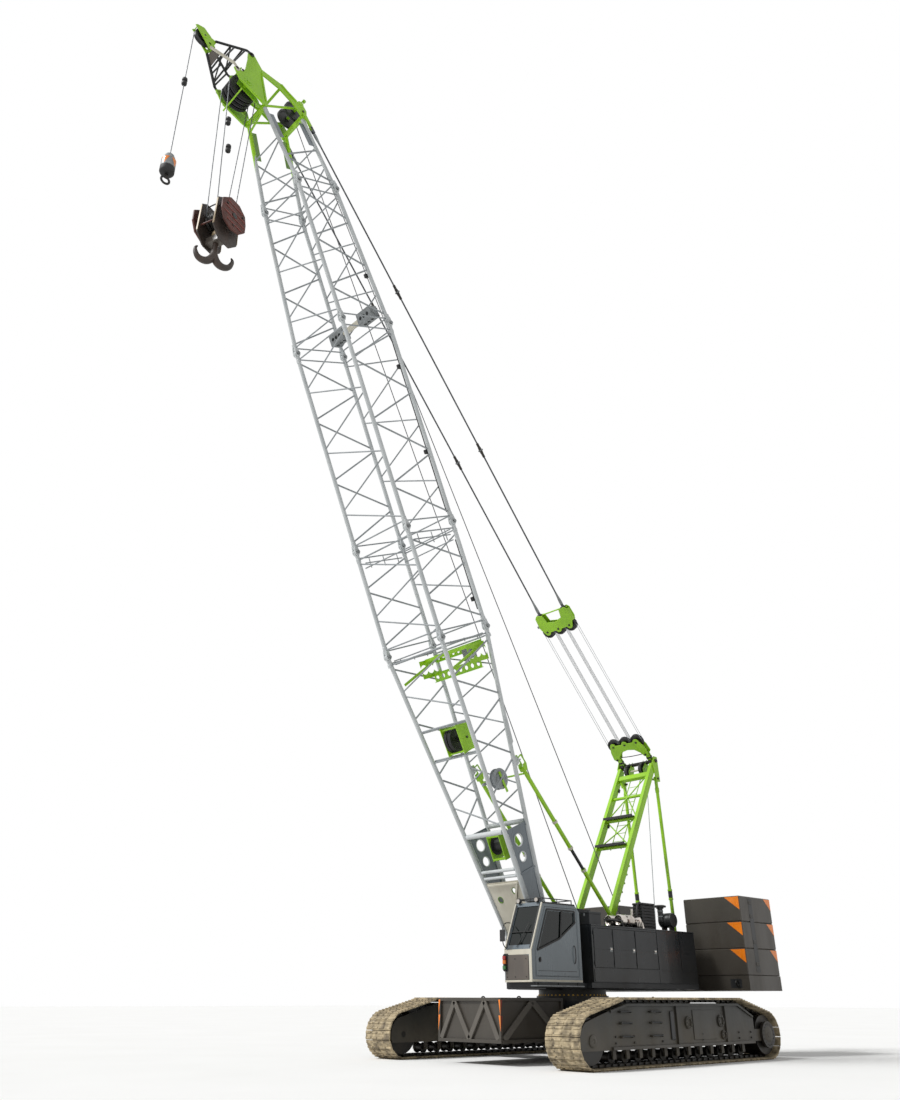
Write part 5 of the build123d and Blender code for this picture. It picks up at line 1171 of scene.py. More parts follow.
def bridleBlock(spec):
    parts = flatSheaves(spec, 0)
    outline = lobes(0, 0.115, spec["spacing"], -1) + [(0.2, 0.66), (0.52, 0.64), (0.6, 0.56), (0.56, 0.34), (0.3, 0.28),
        (0.24, 0), (0.3, -0.28), (0.56, -0.34), (0.6, -0.56), (0.52, -0.64), (0.2, -0.66)]
    for side in (-1, 1):
        low, high = span(side, 0.08, 0.105)
        parts.append(outlinePlate(outline, low, high, "z", "limeEnamel", 0.006))
    for y in (-0.62, 0.62):
        parts.append(slab((0.1, y - 0.015, -0.1), (0.5, y + 0.015, 0.1), "limeEnamel", 0.008))
    for y in (-0.48, 0.48):
        parts.append(shaft(0.56, 0, y - 0.1, y + 0.1, 0.04, "greasySteel", 18))
    parts.append(shaft(0.56, 0, -0.62, 0.62, 0.022, "limeEnamel"))
    parts.append(slab((0.18, -0.78, -0.03), (0.26, -0.62, 0.03), "galvanised", 0.01))
    return parts


piece("hangerBlock", hangerBlock(reeve), "gantry_block", blockFrame, ["gantry_block"])
piece("bridleBlock", bridleBlock(reeve), "boom", bridleFrame, ["bridle"])


def falls(spec):
    # boom hoist ropes between the two blocks, straight from sheave to sheave
    parts = []
    for y in (-spec["spacing"], 0, spec["spacing"]):
        for side in (-1, 1):
            for z in (-0.045, 0.045):
                offset = y + side * (spec["radius"] - 0.012)
                low = blockFrame @ Vector((spec["reach"], offset, z))
                high = bridleFrame @ Vector((0, offset, z))
                # the outer falls take the pale rope paint as a painted highlight, the inner falls the darker lacing
                # paint as a painted shade
                outside = abs(offset) > spec["spacing"]
                parts.append(roundBar(low, high, 0.007, "ropeHighlight" if outside else "shadedLacingEnamel", 8, 0))
    return parts


hoistFalls = merged(falls(reeve))
hoistFalls.name = "boomHoistFalls"
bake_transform(hoistFalls)

# Pendant sockets and the links part of the way up
pendant = {"low": 0.48, "high": 0.56, "links": (0.335, 0.665), "radius": 0.05}
parts = []
for side in (-1, 1):
    low = bridleFrame @ Vector((0.56, side * pendant["low"], 0))
    high = boomFrame @ Vector((24.42, side * pendant["high"], 0.8))
    run = high - low
    along = run.normalized()
    for part in pendant["links"]:
        spot = low + run * part
        parts += [roundBar(spot - along * 0.24, spot - along * 0.04, pendant["radius"] * 0.8, "greasySteel"),
            roundBar(spot + along * 0.04, spot + along * 0.24, pendant["radius"] * 0.8, "greasySteel"),
            flatBar(spot - along * 0.1, spot + along * 0.1, 0.09, 0.05, "greasySteel"),
            roundBar(spot - Vector((0, 0.08, 0)), spot + Vector((0, 0.08, 0)), 0.028, "galvanised")]
    for spot, way in ((low + along * 0.12, 1), (high - along * 0.2, -1)):
        socket = spun([(0, 0), (0.048, 0), (0.048, 0.1), (0.032, 0.3), (0.028, 0.4), (0, 0.4)], "galvanised", 20)
        turn = (along * way).to_track_quat("Y", "Z").to_matrix().to_4x4()
        parts.append(moved(socket, Matrix.Translation(spot) @ turn))
piece("pendantSockets", parts, "boom")
print("gantry and reeving done")


# Boom: joints, webs, foot panel, walkways and what hangs between the chords
boom = {"stations": ((0, 0.461, 0.08, 0.2), (8.69, 1.062, 0.894, 0.894), (17.69, 1.062, 0.894, 0.894),
    (22.12, 0.84, 0.7, 0.7), (24.84, 0.421, 0.69, 0.69)), "joints": (8.69, 11.69, 17.69, 22.12)}


def chordAt(s, side, face):
    # side is 1 at +Y, face is 1 on the back chord
    for low, high in zip(boom["stations"], boom["stations"][1:]):
        if s <= high[0]:
            part = (s - low[0]) / (high[0] - low[0])
            y, belly, back = (low[k] + (high[k] - low[k]) * part for k in (1, 2, 3))
            return Vector((s, side * y, face * (back if face > 0 else belly)))


def knuckle():
    # forged fork, eye and pin that join two chords
    parts = []
    for low, high, way in ((-0.028, 0.028, 1), (-0.072, -0.034, -1), (0.034, 0.072, -1)):
        points = [(-0.2, -0.045), (-0.06, -0.072), (0.02, -0.085), (0.075, -0.05), (0.088, 0), (0.075, 0.05),
            (0.02, 0.085), (-0.06, 0.072), (-0.2, 0.045)]
        parts.append(outlinePlate([(way * x, z) for x, z in points], low, high, "y", "latticeEnamel", 0.005))
    parts.append(shaft(0, 0, -0.105, 0.105, 0.036, "greasySteel", 16))
    parts.append(spun([(0, 0.1), (0.05, 0.1), (0.05, 0.118), (0.03, 0.125), (0, 0.125)], "galvanised", 12))
    for x in (-0.24, 0.24):
        parts.append(roundBar((x - 0.05, 0, 0), (x + 0.05, 0, 0), 0.066, "latticeEnamel", 20))
    return merged(parts)


first = knuckle()
knuckles = []
for s in boom["joints"]:
    for side in (-1, 1):
        for face in (-1, 1):
            knuckles.append(again(first, Matrix.Translation(chordAt(s, side, face))))
bpy.data.objects.remove(first)
piece("boomKnuckles", knuckles, "boom", boomFrame, ["boom_joint_pins"])


def railing(s0, s1):
    # light service rails across the boom, with short posts
    parts = []
    for face, s in ((-1, s0), (-1, s1), (1, s0), (1, s1)):
        at = chordAt(s, 1, face)
        y, z = at.y - 0.06, at.z - face * 0.12
        parts.append(shaft(s, z, -y, y, 0.018, "shadedLacingEnamel", 10))
    for side in (-1, 1):
        for part in (0.2, 0.5, 0.8):
            low, high = chordAt(s0, side, -1), chordAt(s0, side, 1)
            spot = low.lerp(high, part) + Vector((0, -side * 0.05, 0))
            parts.append(roundBar(spot, spot + Vector((s1 - s0, 0, 0)), 0.014, "shadedLacingEnamel", 10))
        low, high = chordAt((s0 + s1) / 2, side, -1), chordAt((s0 + s1) / 2, side, 1)
        step = Vector((0, -side * 0.05, 0))
        parts.append(roundBar(low.lerp(high, 0.1) + step, low.lerp(high, 0.9) + step, 0.018, "shadedLacingEnamel", 10))
    return parts


def holedPanel(s0, s1, low, high, y, finish, count, side=1):
    # thin plate beside the chords with a row of round holes
    lowY, highY = sorted((y, y + side * 0.012))
    panel = outlinePlate([(s0, low), (s1, low), (s1, high), (s0, high)], lowY, highY, "y", finish, 0.002)
    cutters = []
    for k in range(count):
        spot = low + (k + 0.5) * (high - low) / count
        cutters.append(drill((s1 - s0) * 0.27, 0.2, ((s0 + s1) / 2, y, spot), (math.pi / 2, 0, 0)))
    return cut(panel, *cutters)


def holedBeam(s, y0, y1, a, wide, finish, count):
    # plate across the boom, between its sides, with holes and folded edges
    parts = []
    panel = outlinePlate([(s - wide, y0), (s + wide, y0), (s + wide, y1), (s - wide, y1)], a, a + 0.012, "z", finish,
        0.002)
    parts.append(cut(panel, *[drill(wide * 0.5, 0.2, (s, y0 + (k + 0.5) * (y1 - y0) / count, a))
        for k in range(count)]))
    for x in (s - wide, s + wide):
        parts.append(slab((x - 0.006, y0, a - 0.05), (x + 0.006, y1, a + 0.05), finish, 0.002))
    return parts


def guideFrame():
    # lime frame under the first joint: panels inside both sides and beams between them
    parts = []
    for side in (-1, 1):
        y = side * (chordAt(8.1, 1, 1).y - 0.09)
        parts.append(holedPanel(7.85, 8.35, 0.05, 0.78, y, "limeEnamel", 3, -side))
        parts.append(flatBar((7.85, y, -0.7), (8.3, y, 0.75), 0.03, 0.07, "limeEnamel"))
    half = chordAt(8.1, 1, 1).y - 0.11
    parts += holedBeam(8.3, -half, half, 0.7, 0.1, "limeEnamel", 9)
    parts += holedBeam(7.8, -half, half, 0.45, 0.12, "limeEnamel", 8)
    parts.append(flatBar((8.32, -half, 0.3), (8.32, half, 0.3), 0.09, 0.07, "limeEnamel", (1, 0, 0)))
    parts.append(slab((8.0, 0.25, 0.55), (8.3, 0.6, 0.74), "galvanised", 0.012))
    return parts


def guideBoxes():
    # two grey holed boxes and a cream beam across, over the upper insert's joint
    parts = []
    for y0, y1 in ((-0.95, -0.35), (0.35, 0.95)):
        box = slab((17.95, y0, 0.42), (18.3, y1, 0.72), "galvanised", 0.01)
        cutters = []
        for y in (y0 + 0.15, y0 + 0.3, y0 + 0.45):
            cutters += [drill(0.055, 0.6, (18.12, y, 0.57), (0, tilt, 0)) for tilt in (math.pi / 2, 0)]
        parts.append(cut(box, *cutters))
    parts.append(flatBar((18.1, -0.4, 0.5), (18.1, 0.4, 0.5), 0.14, 0.12, "creamEnamel", (1, 0, 0)))
    return parts


def foot():
    # panel between the belly chords over the foot, two bars and the sleeves of the crossbars
    tilt = math.atan2(0.814, 8.69)
    wide = [0.461 + 0.601 * s / 8.69 - 0.05 for s in (0.62, 2.36)]
    panel = outlinePlate([(0.62, -wide[0]), (2.36, -wide[1]), (2.36, wide[1]), (0.62, wide[0])], -0.006, 0.006, "z",
        "creamEnamel", 0.002)
    holes = ((1.0, -0.22), (1.45, 0.2), (1.9, -0.28), (2.1, 0.3))
    parts = [cut(panel, *[drill(0.075, 0.1, (x, y, 0), sides=28) for x, y in holes])]
    # rims round the holes in the darker lime paint, a painted shade
    for x, y in holes:
        ring = spun([(0.073, -0.012), (0.09, -0.012), (0.09, 0.012), (0.073, 0.012)], "shadedLimeEnamel", 28)
        parts.append(moved(ring, shift(x, y, 0) @ upright))
    parts.append(flatBar((0.7, -0.42, -0.03), (2.3, 0.5, -0.03), 0.06, 0.03, "creamEnamel"))
    parts.append(flatBar((2.3, -0.53, -0.02), (2.3, 0.53, -0.02), 0.05, 0.06, "creamEnamel", (1, 0, 0)))
    parts = [moved(part, shift(0, 0, -0.08) @ Matrix.Rotation(tilt, 4, "Y")) for part in parts]
    for s, face, radius in ((2.47, -1, 0.041), (2.635, -1, 0.041), (3.6, -1, 0.063), (3.6, 1, 0.063)):
        low, high = chordAt(s, -1, face), chordAt(s, 1, face)
        parts.append(roundBar(low + Vector((0, 0.06, 0)), high - Vector((0, 0.06, 0)), radius, "latticeEnamel", 18))
    for side in (-1, 1):
        # flanges, stiffener and hole rims of the side webs
        belly, back = chordAt(2.47, side, -1), chordAt(2.47, side, 1)
        parts.append(flatBar(belly + Vector((0, side * 0.02, 0.06)), back + Vector((0, side * 0.02, -0.06)), 0.05, 0.03,
            "slateEnamel", (1, 0, 0)))
        for face in (-1, 1):
            low, high = chordAt(1.0, side, face), chordAt(3.5, side, face)
            step = Vector((0, -side * 0.01, -face * 0.075))
            parts.append(flatBar(low + step, high + step, 0.07, 0.02, "latticeEnamel"))
        for s, radius in ((3.252, 0.15), (2.83, 0.12)):
            y = chordAt(s, side, 1).y
            ring = spun([(radius - 0.004, -0.02), (radius + 0.018, -0.02), (radius + 0.018, 0.02),
                (radius - 0.004, 0.02)], "latticeEnamel")
            parts.append(moved(ring, shift(s, y, 0) @ Matrix.Rotation(side * math.atan2(0.601, 8.69), 4, "Z")))
    return parts


def inside():
    # tagline winch, guide box, cable reel and cable along the near back chord
    parts = []
    for y in (-0.12, 0.3):
        parts.append(outlinePlate([(2.86, -0.26), (3.5, -0.26), (3.56, 0.1), (3.3, 0.3), (2.86, 0.3)], y - 0.015,
            y + 0.015, "y", "limeEnamel"))
    for x, z in ((2.9, -0.22), (3.48, -0.22), (2.92, 0.26), (3.3, 0.26)):
        parts.append(shaft(x, z, -0.12, 0.3, 0.035, "limeEnamel"))
    drum = spun([(0, -0.09), (0.24, -0.09), (0.24, -0.075), (0.16, -0.07), (0.16, 0.25), (0.24, 0.255), (0.24, 0.27),
        (0, 0.27)], "blackRubber")
    parts.append(moved(drum, shift(3.2, 0, 0)))
    # guide sheave between its plates by the belly
    for y in (-0.16, 0.42):
        parts.append(outlinePlate([(5.72, -0.66), (6.48, -0.7), (6.44, -0.12), (5.8, -0.1)], y - 0.012, y + 0.012, "y",
            "limeEnamel"))
    for x, z in ((5.78, -0.2), (6.4, -0.2), (5.78, -0.6), (6.42, -0.64)):
        parts.append(shaft(x, z, -0.16, 0.42, 0.025, "limeEnamel", 12))
    guide = groovedSheave(0.33, 0.05, 0.03)
    for y in (-0.04, 0.1):
        parts.append(again(guide, shift(6.1, y, -0.42)))
    bpy.data.objects.remove(guide)
    parts.append(shaft(6.1, -0.42, -0.2, 0.46, 0.03, "greasySteel"))
    for s in (5.7, 6.5):
        parts.append(roundBar(chordAt(s, -1, -1) + Vector((0, 0.05, 0.06)),
            chordAt(s, 1, -1) + Vector((0, -0.05, 0.06)), 0.03, "shadedLacingEnamel"))
    reel = spun([(0, -0.09), (0.1, -0.09), (0.27, -0.07), (0.27, -0.055), (0.23, -0.05), (0.23, 0.05), (0.27, 0.055),
        (0.27, 0.07), (0.1, 0.09), (0, 0.09)], "shadedLacingEnamel", 36)
    parts.append(moved(reel, shift(4.82, 0.58, 0.1)))
    ring = spun([(0.15, 0.075), (0.19, 0.072), (0.19, 0.085), (0.15, 0.088)], "galvanised")
    parts += [moved(ring, shift(4.82, 0.58, 0.1)),
        shaft(4.82, 0.1, 0.45, 0.7, 0.05, "greasySteel", 16),
        flatBar((4.45, 0.69, 0.16), (5.0, 0.69, 0.08), 0.07, 0.02, "limeEnamel", (0, 0, 1)),
        flatBar((4.82, 0.44, -0.4), (4.82, 0.44, 0.5), 0.07, 0.05, "shadedLacingEnamel", (1, 0, 0))]
    for s in (9.5, 13.8, 16.4, 19.3):
        # junction boxes and clamps for the light cable on the back chord's inner side
        at = chordAt(s, 1, 1)
        parts.append(slab((s - 0.06, at.y - 0.14, at.z - 0.1), (s + 0.06, at.y - 0.05, at.z + 0.02), "blackRubber",
            0.01))
    for s0, s1 in zip((9.2, 12.0, 15.0), (11.2, 15.0, 17.2)):
        a, b = chordAt(s0, 1, 1), chordAt(s1, 1, 1)
        off = Vector((0, -0.075, -0.02))
        parts.append(roundBar(a + off, b + off, 0.014, "blackRubber", 8, 0))
    return parts


piece("boomFootPanel", foot(), "boom", boomFrame)
piece("boomInside", inside(), "boom", boomFrame)
piece("boomRails", railing(8.45, 8.55) + railing(11.2, 11.5), "boom", boomFrame)
piece("guideFrame", guideFrame(), "boom", boomFrame)
piece("guideBoxes", guideBoxes(), "boom", boomFrame)


def stopBracket():
    # pale gusset on the chord above each backstop pin
    parts = []
    for side in (-1, 1):
        at = chordAt(5.9, side, 1)
        low, high = sorted((at.y + side * 0.062, at.y + side * 0.074))
        parts.append(outlinePlate([(5.5, at.z - 0.12), (6.3, at.z - 0.04), (6.25, at.z + 0.07), (5.6, at.z + 0.01)],
            low, high, "y", "latticeEnamel"))
    return parts


piece("stopBrackets", stopBracket(), "boom", boomFrame)

# Hoist ropes from the drums to the head, and the boom hoist rope down to its drum
for name, start, end in (("hoistLineMain", (-2.7, 0.12, 2.5), (25.24, 0.2, 1.02)),
        ("hoistLineAux", (-1.1, -0.12, 2.5), (25.24, -0.2, 1.02))):
    low, high = upperFrame @ Vector(start), boomFrame @ Vector(end)
    line = roundBar(low, high, 0.013, "wireRope", 10, 0)
    line.name = name
    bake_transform(line)
# the boom hoist rope down to its drum takes the pale rope paint, a painted highlight
piece("luffingLine", [roundBar((-3.83, 0.27, 7.7), (-3.55, 0.27, 2.75), 0.011, "ropeHighlight", 8, 0)], "upper",
    upperFrame)
print("boom done")


# Boom head: sheaves, bosses, guards; auxiliary jib
head = {"cheek": 0.505, "plate": 0.04, "shafts": ((25.45, -1.1, 0.06), (25.24, 0.7, 0.045))}
parts = []
for radius, half, bore, places in ((0.42, 0.045, 0.06, [(25.45, y, -1.1) for y in (-0.21, -0.07, 0.07, 0.21)]),
        (0.33, 0.04, 0.045, [(25.24, y, 0.7) for y in (-0.18, 0.18)]), (0.27, 0.055, 0.03, [(27.07, 0, -1.82)])):
    wheel = groovedSheave(radius, half, bore, "sheaveBlack", 1, 44)
    parts += [again(wheel, shift(*place)) for place in places]
    bpy.data.objects.remove(wheel)
piece("headSheaves", parts, "boom", boomFrame, ["head_sheaves"])


def headDetail(spec):
    parts = []
    outer = spec["cheek"] + spec["plate"] / 2
    for s, a, radius in spec["shafts"]:
        for side in (-1, 1):
            boss = spun([(radius + 0.001, outer), (radius + 0.07, outer), (radius + 0.06, outer + 0.018),
                (radius + 0.001, outer + 0.018)], "limeEnamel", 28)
            if side < 0:
                boss = moved(boss, otherSide)
            parts.append(moved(boss, shift(s, 0, a)))
    for side in (-1, 1):
        # stiffening edge and gussets on the cheeks' outer faces
        y = side * (outer + 0.012)
        for a, b in (((26.02, -0.44), (25.9, -0.5)), ((25.9, -0.5), (25.58, 0.03)), ((25.58, 0.03), (25.18, 0.41)),
                ((25.18, 0.41), (24.84, 0.6)), ((25.76, 0.16), (25.58, 0.3)), ((25.58, 0.3), (25.3, 0.58)),
                ((24.95, -0.66), (25.85, -0.52)), ((24.9, -0.8), (25.42, -1.34))):
            parts.append(flatBar((a[0], y, a[1]), (b[0], y, b[1]), 0.028, 0.05, "limeEnamel"))
        parts.append(roundBar((24.9, side * 0.4, -0.62), (25.2, side * 0.36, 0.62), 0.035, "limeEnamel"))
        for x, z in ((25.8, -1.2), (25.0, 0.72)):
            parts.append(roundBar((x, side * (outer + 0.001), z), (x, side * (outer + 0.03), z), 0.04, "greasySteel",
                6))
    for s, a in ((25.75, -0.76), (25.15, -1.42), (25.9, -1.2), (25.5, 0.95)):
        parts.append(shaft(s, a, -spec["cheek"], spec["cheek"], 0.022, "limeEnamel", 12))
    for y in (-0.28, 0.28):
        low, high = sorted((y, y + math.copysign(0.02, y)))
        parts.append(outlinePlate([(24.86, -0.74), (25.5, -1.35), (25.7, -1.2), (25.56, -0.96), (25.1, -0.72)], low,
            high, "y", "limeEnamel"))
    # bright cross tube at the top of the belly, short braces behind the cheeks
    parts += [shaft(24.84, -0.69, -0.42, 0.42, 0.066, "limeEnamel", 24),
        roundBar((24.6, -0.4, -0.69), (24.84, 0.4, -0.66), 0.03, "limeEnamel", 12),
        slab((24.86, 0.18, 0.8), (25.0, 0.4, 0.88), "limeEnamel", 0.015)]
    for y in (-0.18, 0.18):
        parts.append(shaft(25.05, 0.98, y - 0.06, y + 0.06, 0.03, "galvanised", 12))
        parts.append(flatBar((24.95, y, 0.74), (25.05, y, 0.98), 0.02, 0.06, "limeEnamel"))
    # wind gauge mast on the rear edge
    parts.append(roundBar((25.28, 0.44, 0.84), (25.5, 0.44, 1.0), 0.014, "limeEnamel", 8))
    gauge = spun([(0, -0.03), (0.05, -0.03), (0.05, 0.03), (0, 0.03)], "limeEnamel", 16)
    parts.append(moved(gauge, shift(25.5, 0.44, 1.0)))
    return parts


piece("headDetail", headDetail(head), "boom", boomFrame)
jib = {"rows": (((25.79, -1.38), (26.7, -1.75), 0.042), ((26.5, -0.66), (26.98, -1.51), 0.036)), "arm": 0.18,
    "eye": 0.5373, "tip": 0.11, "strut": 0.026, "sheave": (27.07, 0, -1.82)}


def jibPoint(row, side, part):
    (s0, a0), (s1, a1), _ = row
    y = jib["eye"] + (jib["tip"] - jib["eye"]) * max(0, part - jib["arm"]) / (1 - jib["arm"])
    return Vector((s0 + (s1 - s0) * part, side * y, a0 + (a1 - a0) * part))


def auxJib(spec):
    parts = []
    for k, row in enumerate(spec["rows"]):
        for side in (-1, 1):
            finish = "creamEnamel" if k == 0 and side > 0 else "charcoalSatin"
            start, end = jibPoint(row, side, spec["arm"]), jibPoint(row, side, 1)
            parts.append(roundBar(start, end, row[2], finish, 18))
            pin = jibPoint(row, side, 0)
            parts.append(flatBar(pin, start, 0.024, 0.09, finish))
            eye = spun([(0.026, -0.012), (0.07, -0.012), (0.07, 0.012), (0.026, 0.012)], finish, 24)
            parts.append(moved(eye, Matrix.Translation(pin)))
            reach = side * (spec["eye"] + 0.04)
            parts.append(shaft(pin.x, pin.z, pin.y - side * 0.02, reach, 0.025, "greasySteel"))
        for part in (0.29, 0.6):
            parts.append(roundBar(jibPoint(row, -1, part), jibPoint(row, 1, part), spec["strut"], "charcoalSatin", 12))
        parts.append(roundBar(jibPoint(row, -1, 0.29), jibPoint(row, 1, 0.6), spec["strut"] * 0.8, "charcoalSatin", 12))
    for side in (-1, 1):
        for part in (0.22, 0.5):
            parts.append(roundBar(jibPoint(spec["rows"][0], side, part), jibPoint(spec["rows"][1], side, part),
                spec["strut"], "charcoalSatin", 12))
        tip = [(26.64, -1.81), (27.37, -2.04), (27.4, -1.96), (27.35, -1.75), (27.06, -1.6), (26.975, -1.46),
            (26.7, -1.68)]
        low, high = span(side, spec["tip"] - 0.02, spec["tip"])
        cheek = outlinePlate(tip, low, high, "y", "limeEnamel")
        parts.append(cut(cheek, drill(0.045, 0.4, (26.84, 0, -1.72), (math.pi / 2, 0, 0))))
        boss = spun([(0.031, 0.11), (0.09, 0.11), (0.085, 0.128), (0.031, 0.128)], "limeEnamel", 24)
        parts.append(moved(moved(boss, otherSide) if side < 0 else boss, shift(*spec["sheave"])))
    parts += [shaft(27.07, -1.82, -0.13, 0.13, 0.03, "greasySteel", 16),
        shaft(27.362, -1.967, -0.11, 0.11, 0.014, "limeEnamel", 10),
        shaft(26.75, -1.62, -0.13, 0.13, 0.03, "limeEnamel")]
    corners = [jibPoint(spec["rows"][0], side, part) for side, part in ((-1, 0.66), (1, 0.66), (1, 0.92), (-1, 0.92))]
    shelf = outlinePlate([(c.x, c.y) for c in corners], 0, 0.012, "z", "panelBrown", 0.002)
    slope = (spec["rows"][0][1][1] - spec["rows"][0][0][1]) / (spec["rows"][0][1][0] - spec["rows"][0][0][0])
    for vertex in shelf.data.vertices:
        vertex.co.z += spec["rows"][0][0][1] + (vertex.co.x - spec["rows"][0][0][0]) * slope
    return parts + [shelf]


piece("auxJib", auxJib(jib), "boom", boomFrame, ["aux_jib"])

# Limit switch weights on the hoist ropes
weight = spun([(0.016, -0.12), (0.07, -0.11), (0.075, -0.04), (0.04, -0.02), (0.04, 0.02), (0.075, 0.04), (0.07, 0.11),
    (0.016, 0.12)], "blackRubber", 24)
weight = moved(weight, upright)
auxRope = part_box("aux_hoist_rope")
ropeX = (auxRope[0][0] + auxRope[1][0]) / 2
piece("auxRopeWeight", [again(weight, shift(ropeX, 0, 23.79))], "aux_line")
headAt = boomFrame @ Vector((25.45, 0, -1.1))
piece("mainRopeWeight", [again(weight, shift(headAt.x + 0.2, 0.3, 22.05)), again(weight,
    shift(headAt.x + 0.3, 0.25, 23.1))], "hook_block")
bpy.data.objects.remove(weight)
print("head and jib done")


# Backstops: black inner rods and pale collars
backstop = {"foot": (-1.8, 2.3), "pin": (5.1, 0.775), "half": 0.8137, "tube": 2.98, "rod": 5.12}
stopFoot = upperFrame @ Vector((backstop["foot"][0], 0, backstop["foot"][1]))
stopRun = boomFrame @ Vector((backstop["pin"][0], 0, backstop["pin"][1])) - stopFoot
stopFrame = Matrix.Translation(stopFoot) @ Matrix.Rotation(-math.atan2(stopRun.z, stopRun.x), 4, "Y")
collar = spun([(0.056, -0.035), (0.071, -0.03), (0.071, 0.03), (0.056, 0.035)], "creamEnamel", 28)
collar = moved(collar, Matrix.Rotation(math.pi / 2, 4, "Z"))
for body, places in (("backstop_tubes", (0.9, 2.94)), ("backstop_rods", (3.66, 4.5))):
    parts = [again(collar, shift(x, side * backstop["half"], 0)) for x in places for side in (-1, 1)]
    if body == "backstop_tubes":
        for side in (-1, 1):
            y = side * backstop["half"]
            parts.append(roundBar((backstop["tube"], y, 0), (backstop["rod"], y, 0), 0.0425, "blackRubber", 24))
    piece(body.replace("backstop_", "backstopTrim_"), parts, body, stopFrame)
bpy.data.objects.remove(collar)

# Winches: rope laid on the drums, flanges, stands and hubs
# each drum's x, z, radius and width: main, second, boom
drums = ((0.42, 2.18, 0.25, 0.76), (-1.25, 2.2, 0.25, 0.76), (-2.7, 2.18, 0.22, 0.7))
parts = []
for x, z, radius, width in drums:
    half = width / 2
    profile = [(0.06, -half - 0.015), (radius + 0.07, -half - 0.015), (radius + 0.07, -half + 0.01),
        (radius - 0.01, -half + 0.015)]
    turns = 18
    for k in range(turns):
        left = -half + 0.02 + k * (width - 0.04) / turns
        pitch = (width - 0.04) / turns
        profile += [(radius + 0.004, left + pitch * 0.1), (radius + 0.018, left + pitch * 0.5),
            (radius + 0.004, left + pitch * 0.9)]
    profile += [(radius - 0.01, half - 0.015), (radius + 0.07, half - 0.01), (radius + 0.07, half + 0.015),
        (0.06, half + 0.015)]
    drum = spun(profile, "wireRope")
    drum.data.materials.append(paints["limeEnamel"])
    for face in drum.data.polygons:
        face.material_index = 0 if max(abs(drum.data.vertices[v].co.y) for v in face.vertices) < half - 0.012 else 1
    parts.append(moved(drum, shift(x, 0, z)))
    for side in (-1, 1):
        y = side * (half + 0.05)
        low, high = sorted((y - side * 0.016, y + side * 0.016))
        stand = [(x - 0.16, 1.901), (x + 0.16, 1.901), (x + 0.14, z), (x + 0.07, z + 0.12), (x - 0.07, z + 0.12),
            (x - 0.14, z)]
        parts.append(outlinePlate(stand, low, high, "y", "charcoalSatin"))
        low, high = span(side, half - 0.01, half + 0.05)
        parts.append(shaft(x, z, low, high, 0.08, "greasySteel", 24))
        parts.append(roundBar((x, side * (half + 0.066), z), (x, side * (half + 0.076), z), 0.065, "galvanised", 12))
piece("winchDrums", parts, "upper", upperFrame, ["winches"])

# Main hook block: plates, side weights, sheaves, crosshead
hookSpec = {"fall": 5.07, "turn": 20, "radius": 0.3, "pitch": 0.11, "plateY": 0.27, "weightY": 0.485, "crosshead": 0.64,
    "bowl": 0.58, "hookTurn": -12.5}
blockPlace = shift(headAt.x, 0, headAt.z - hookSpec["fall"]) @ Matrix.Rotation(math.radians(hookSpec["turn"]), 4, "Z")


def hookBlock(spec):
    parts = []
    plate = [(-0.43, 0.42), (-0.25, 0.56), (0.25, 0.56), (0.43, 0.42), (0.46, -0.56), (0.18, -0.86), (-0.18, -0.86),
        (-0.46, -0.56)]
    weight = [(-0.47, 0.06), (-0.4, 0.33), (-0.15, 0.5), (0.2, 0.5), (0.47, 0.26), (0.47, -0.08), (0.33, -0.38),
        (0.06, -0.5), (-0.26, -0.42), (-0.47, -0.18)]
    for side in (-1, 1):
        for outline, y, thick, finish, edge in ((plate, spec["plateY"], 0.03, "castBrown", 0.005),
                (weight, spec["weightY"], 0.06, "oxidePrimer", 0.012)):
            low, high = span(side, y - thick / 2, y + thick / 2)
            parts.append(outlinePlate(outline, low, high, "y", finish, edge))
        y = side * spec["plateY"]
        # worn pale edges of the main plates
        for x in (-1, 1):
            parts.append(flatBar((x * 0.434, y, 0.38), (x * 0.462, y, -0.52), 0.05, 0.016, "nutCream"))
            parts.append(flatBar((x * 0.45, y, -0.57), (x * 0.2, y, -0.835), 0.044, 0.014, "castBrown"))
        y = side * (spec["weightY"] + 0.035)
        for k in range(4):
            # cast ribs on the outside of the weights
            z = 0.3 - k * 0.19
            reach = (0.3, 0.4, 0.38, 0.26)[k]
            parts.append(flatBar((-reach - 0.02 * k, y, z), (reach, y, z), 0.014, 0.03, "redSheet"))
        for x, z in ((-0.3, 0.2), (0.3, 0.2), (0, -0.32)):
            low, high = span(side, spec["plateY"] + 0.015, spec["weightY"] - 0.03)
            parts.append(shaft(x, z, low, high, 0.04, "castBrown", 16))
            parts.append(shaft(x, z, y - side * 0.004, y + side * 0.02, 0.032, "greasySteel", 6))
        parts.append(shaft(0, 0, y, y + side * 0.02, 0.085, "greasySteel", 24))
        parts.append(roundBar((-0.2, side * 0.26, 0.5), (-0.2, side * 0.44, 0.52), 0.016, "galvanised", 10))
    parts.append(shaft(0, 0, -0.51, 0.51, 0.05, "greasySteel", 24))
    for x in (-0.2, 0.2):
        parts.append(shaft(x, 0.5, -0.27, 0.27, 0.018, "greasySteel", 12))
    parts.append(shaft(0.36, -0.28, -0.27, 0.27, 0.022, "oxidePrimer"))
    cross = slab((-0.13, -0.27, -spec["crosshead"] - 0.11), (0.13, 0.27, -spec["crosshead"] + 0.11), "panelBrown", 0.02)
    parts.append(cut(cross, drill(0.0725, 0.4, (0, 0, -spec["crosshead"]), sides=32)))
    # rope guards over the sheaves
    for y in (-0.22, 0.22):
        parts.append(hose([(-0.33, y, 0.05), (-0.3, y, 0.24), (0, y, 0.36), (0.3, y, 0.24), (0.33, y, 0.05)], 0.01,
            "castBrown"))
    return parts


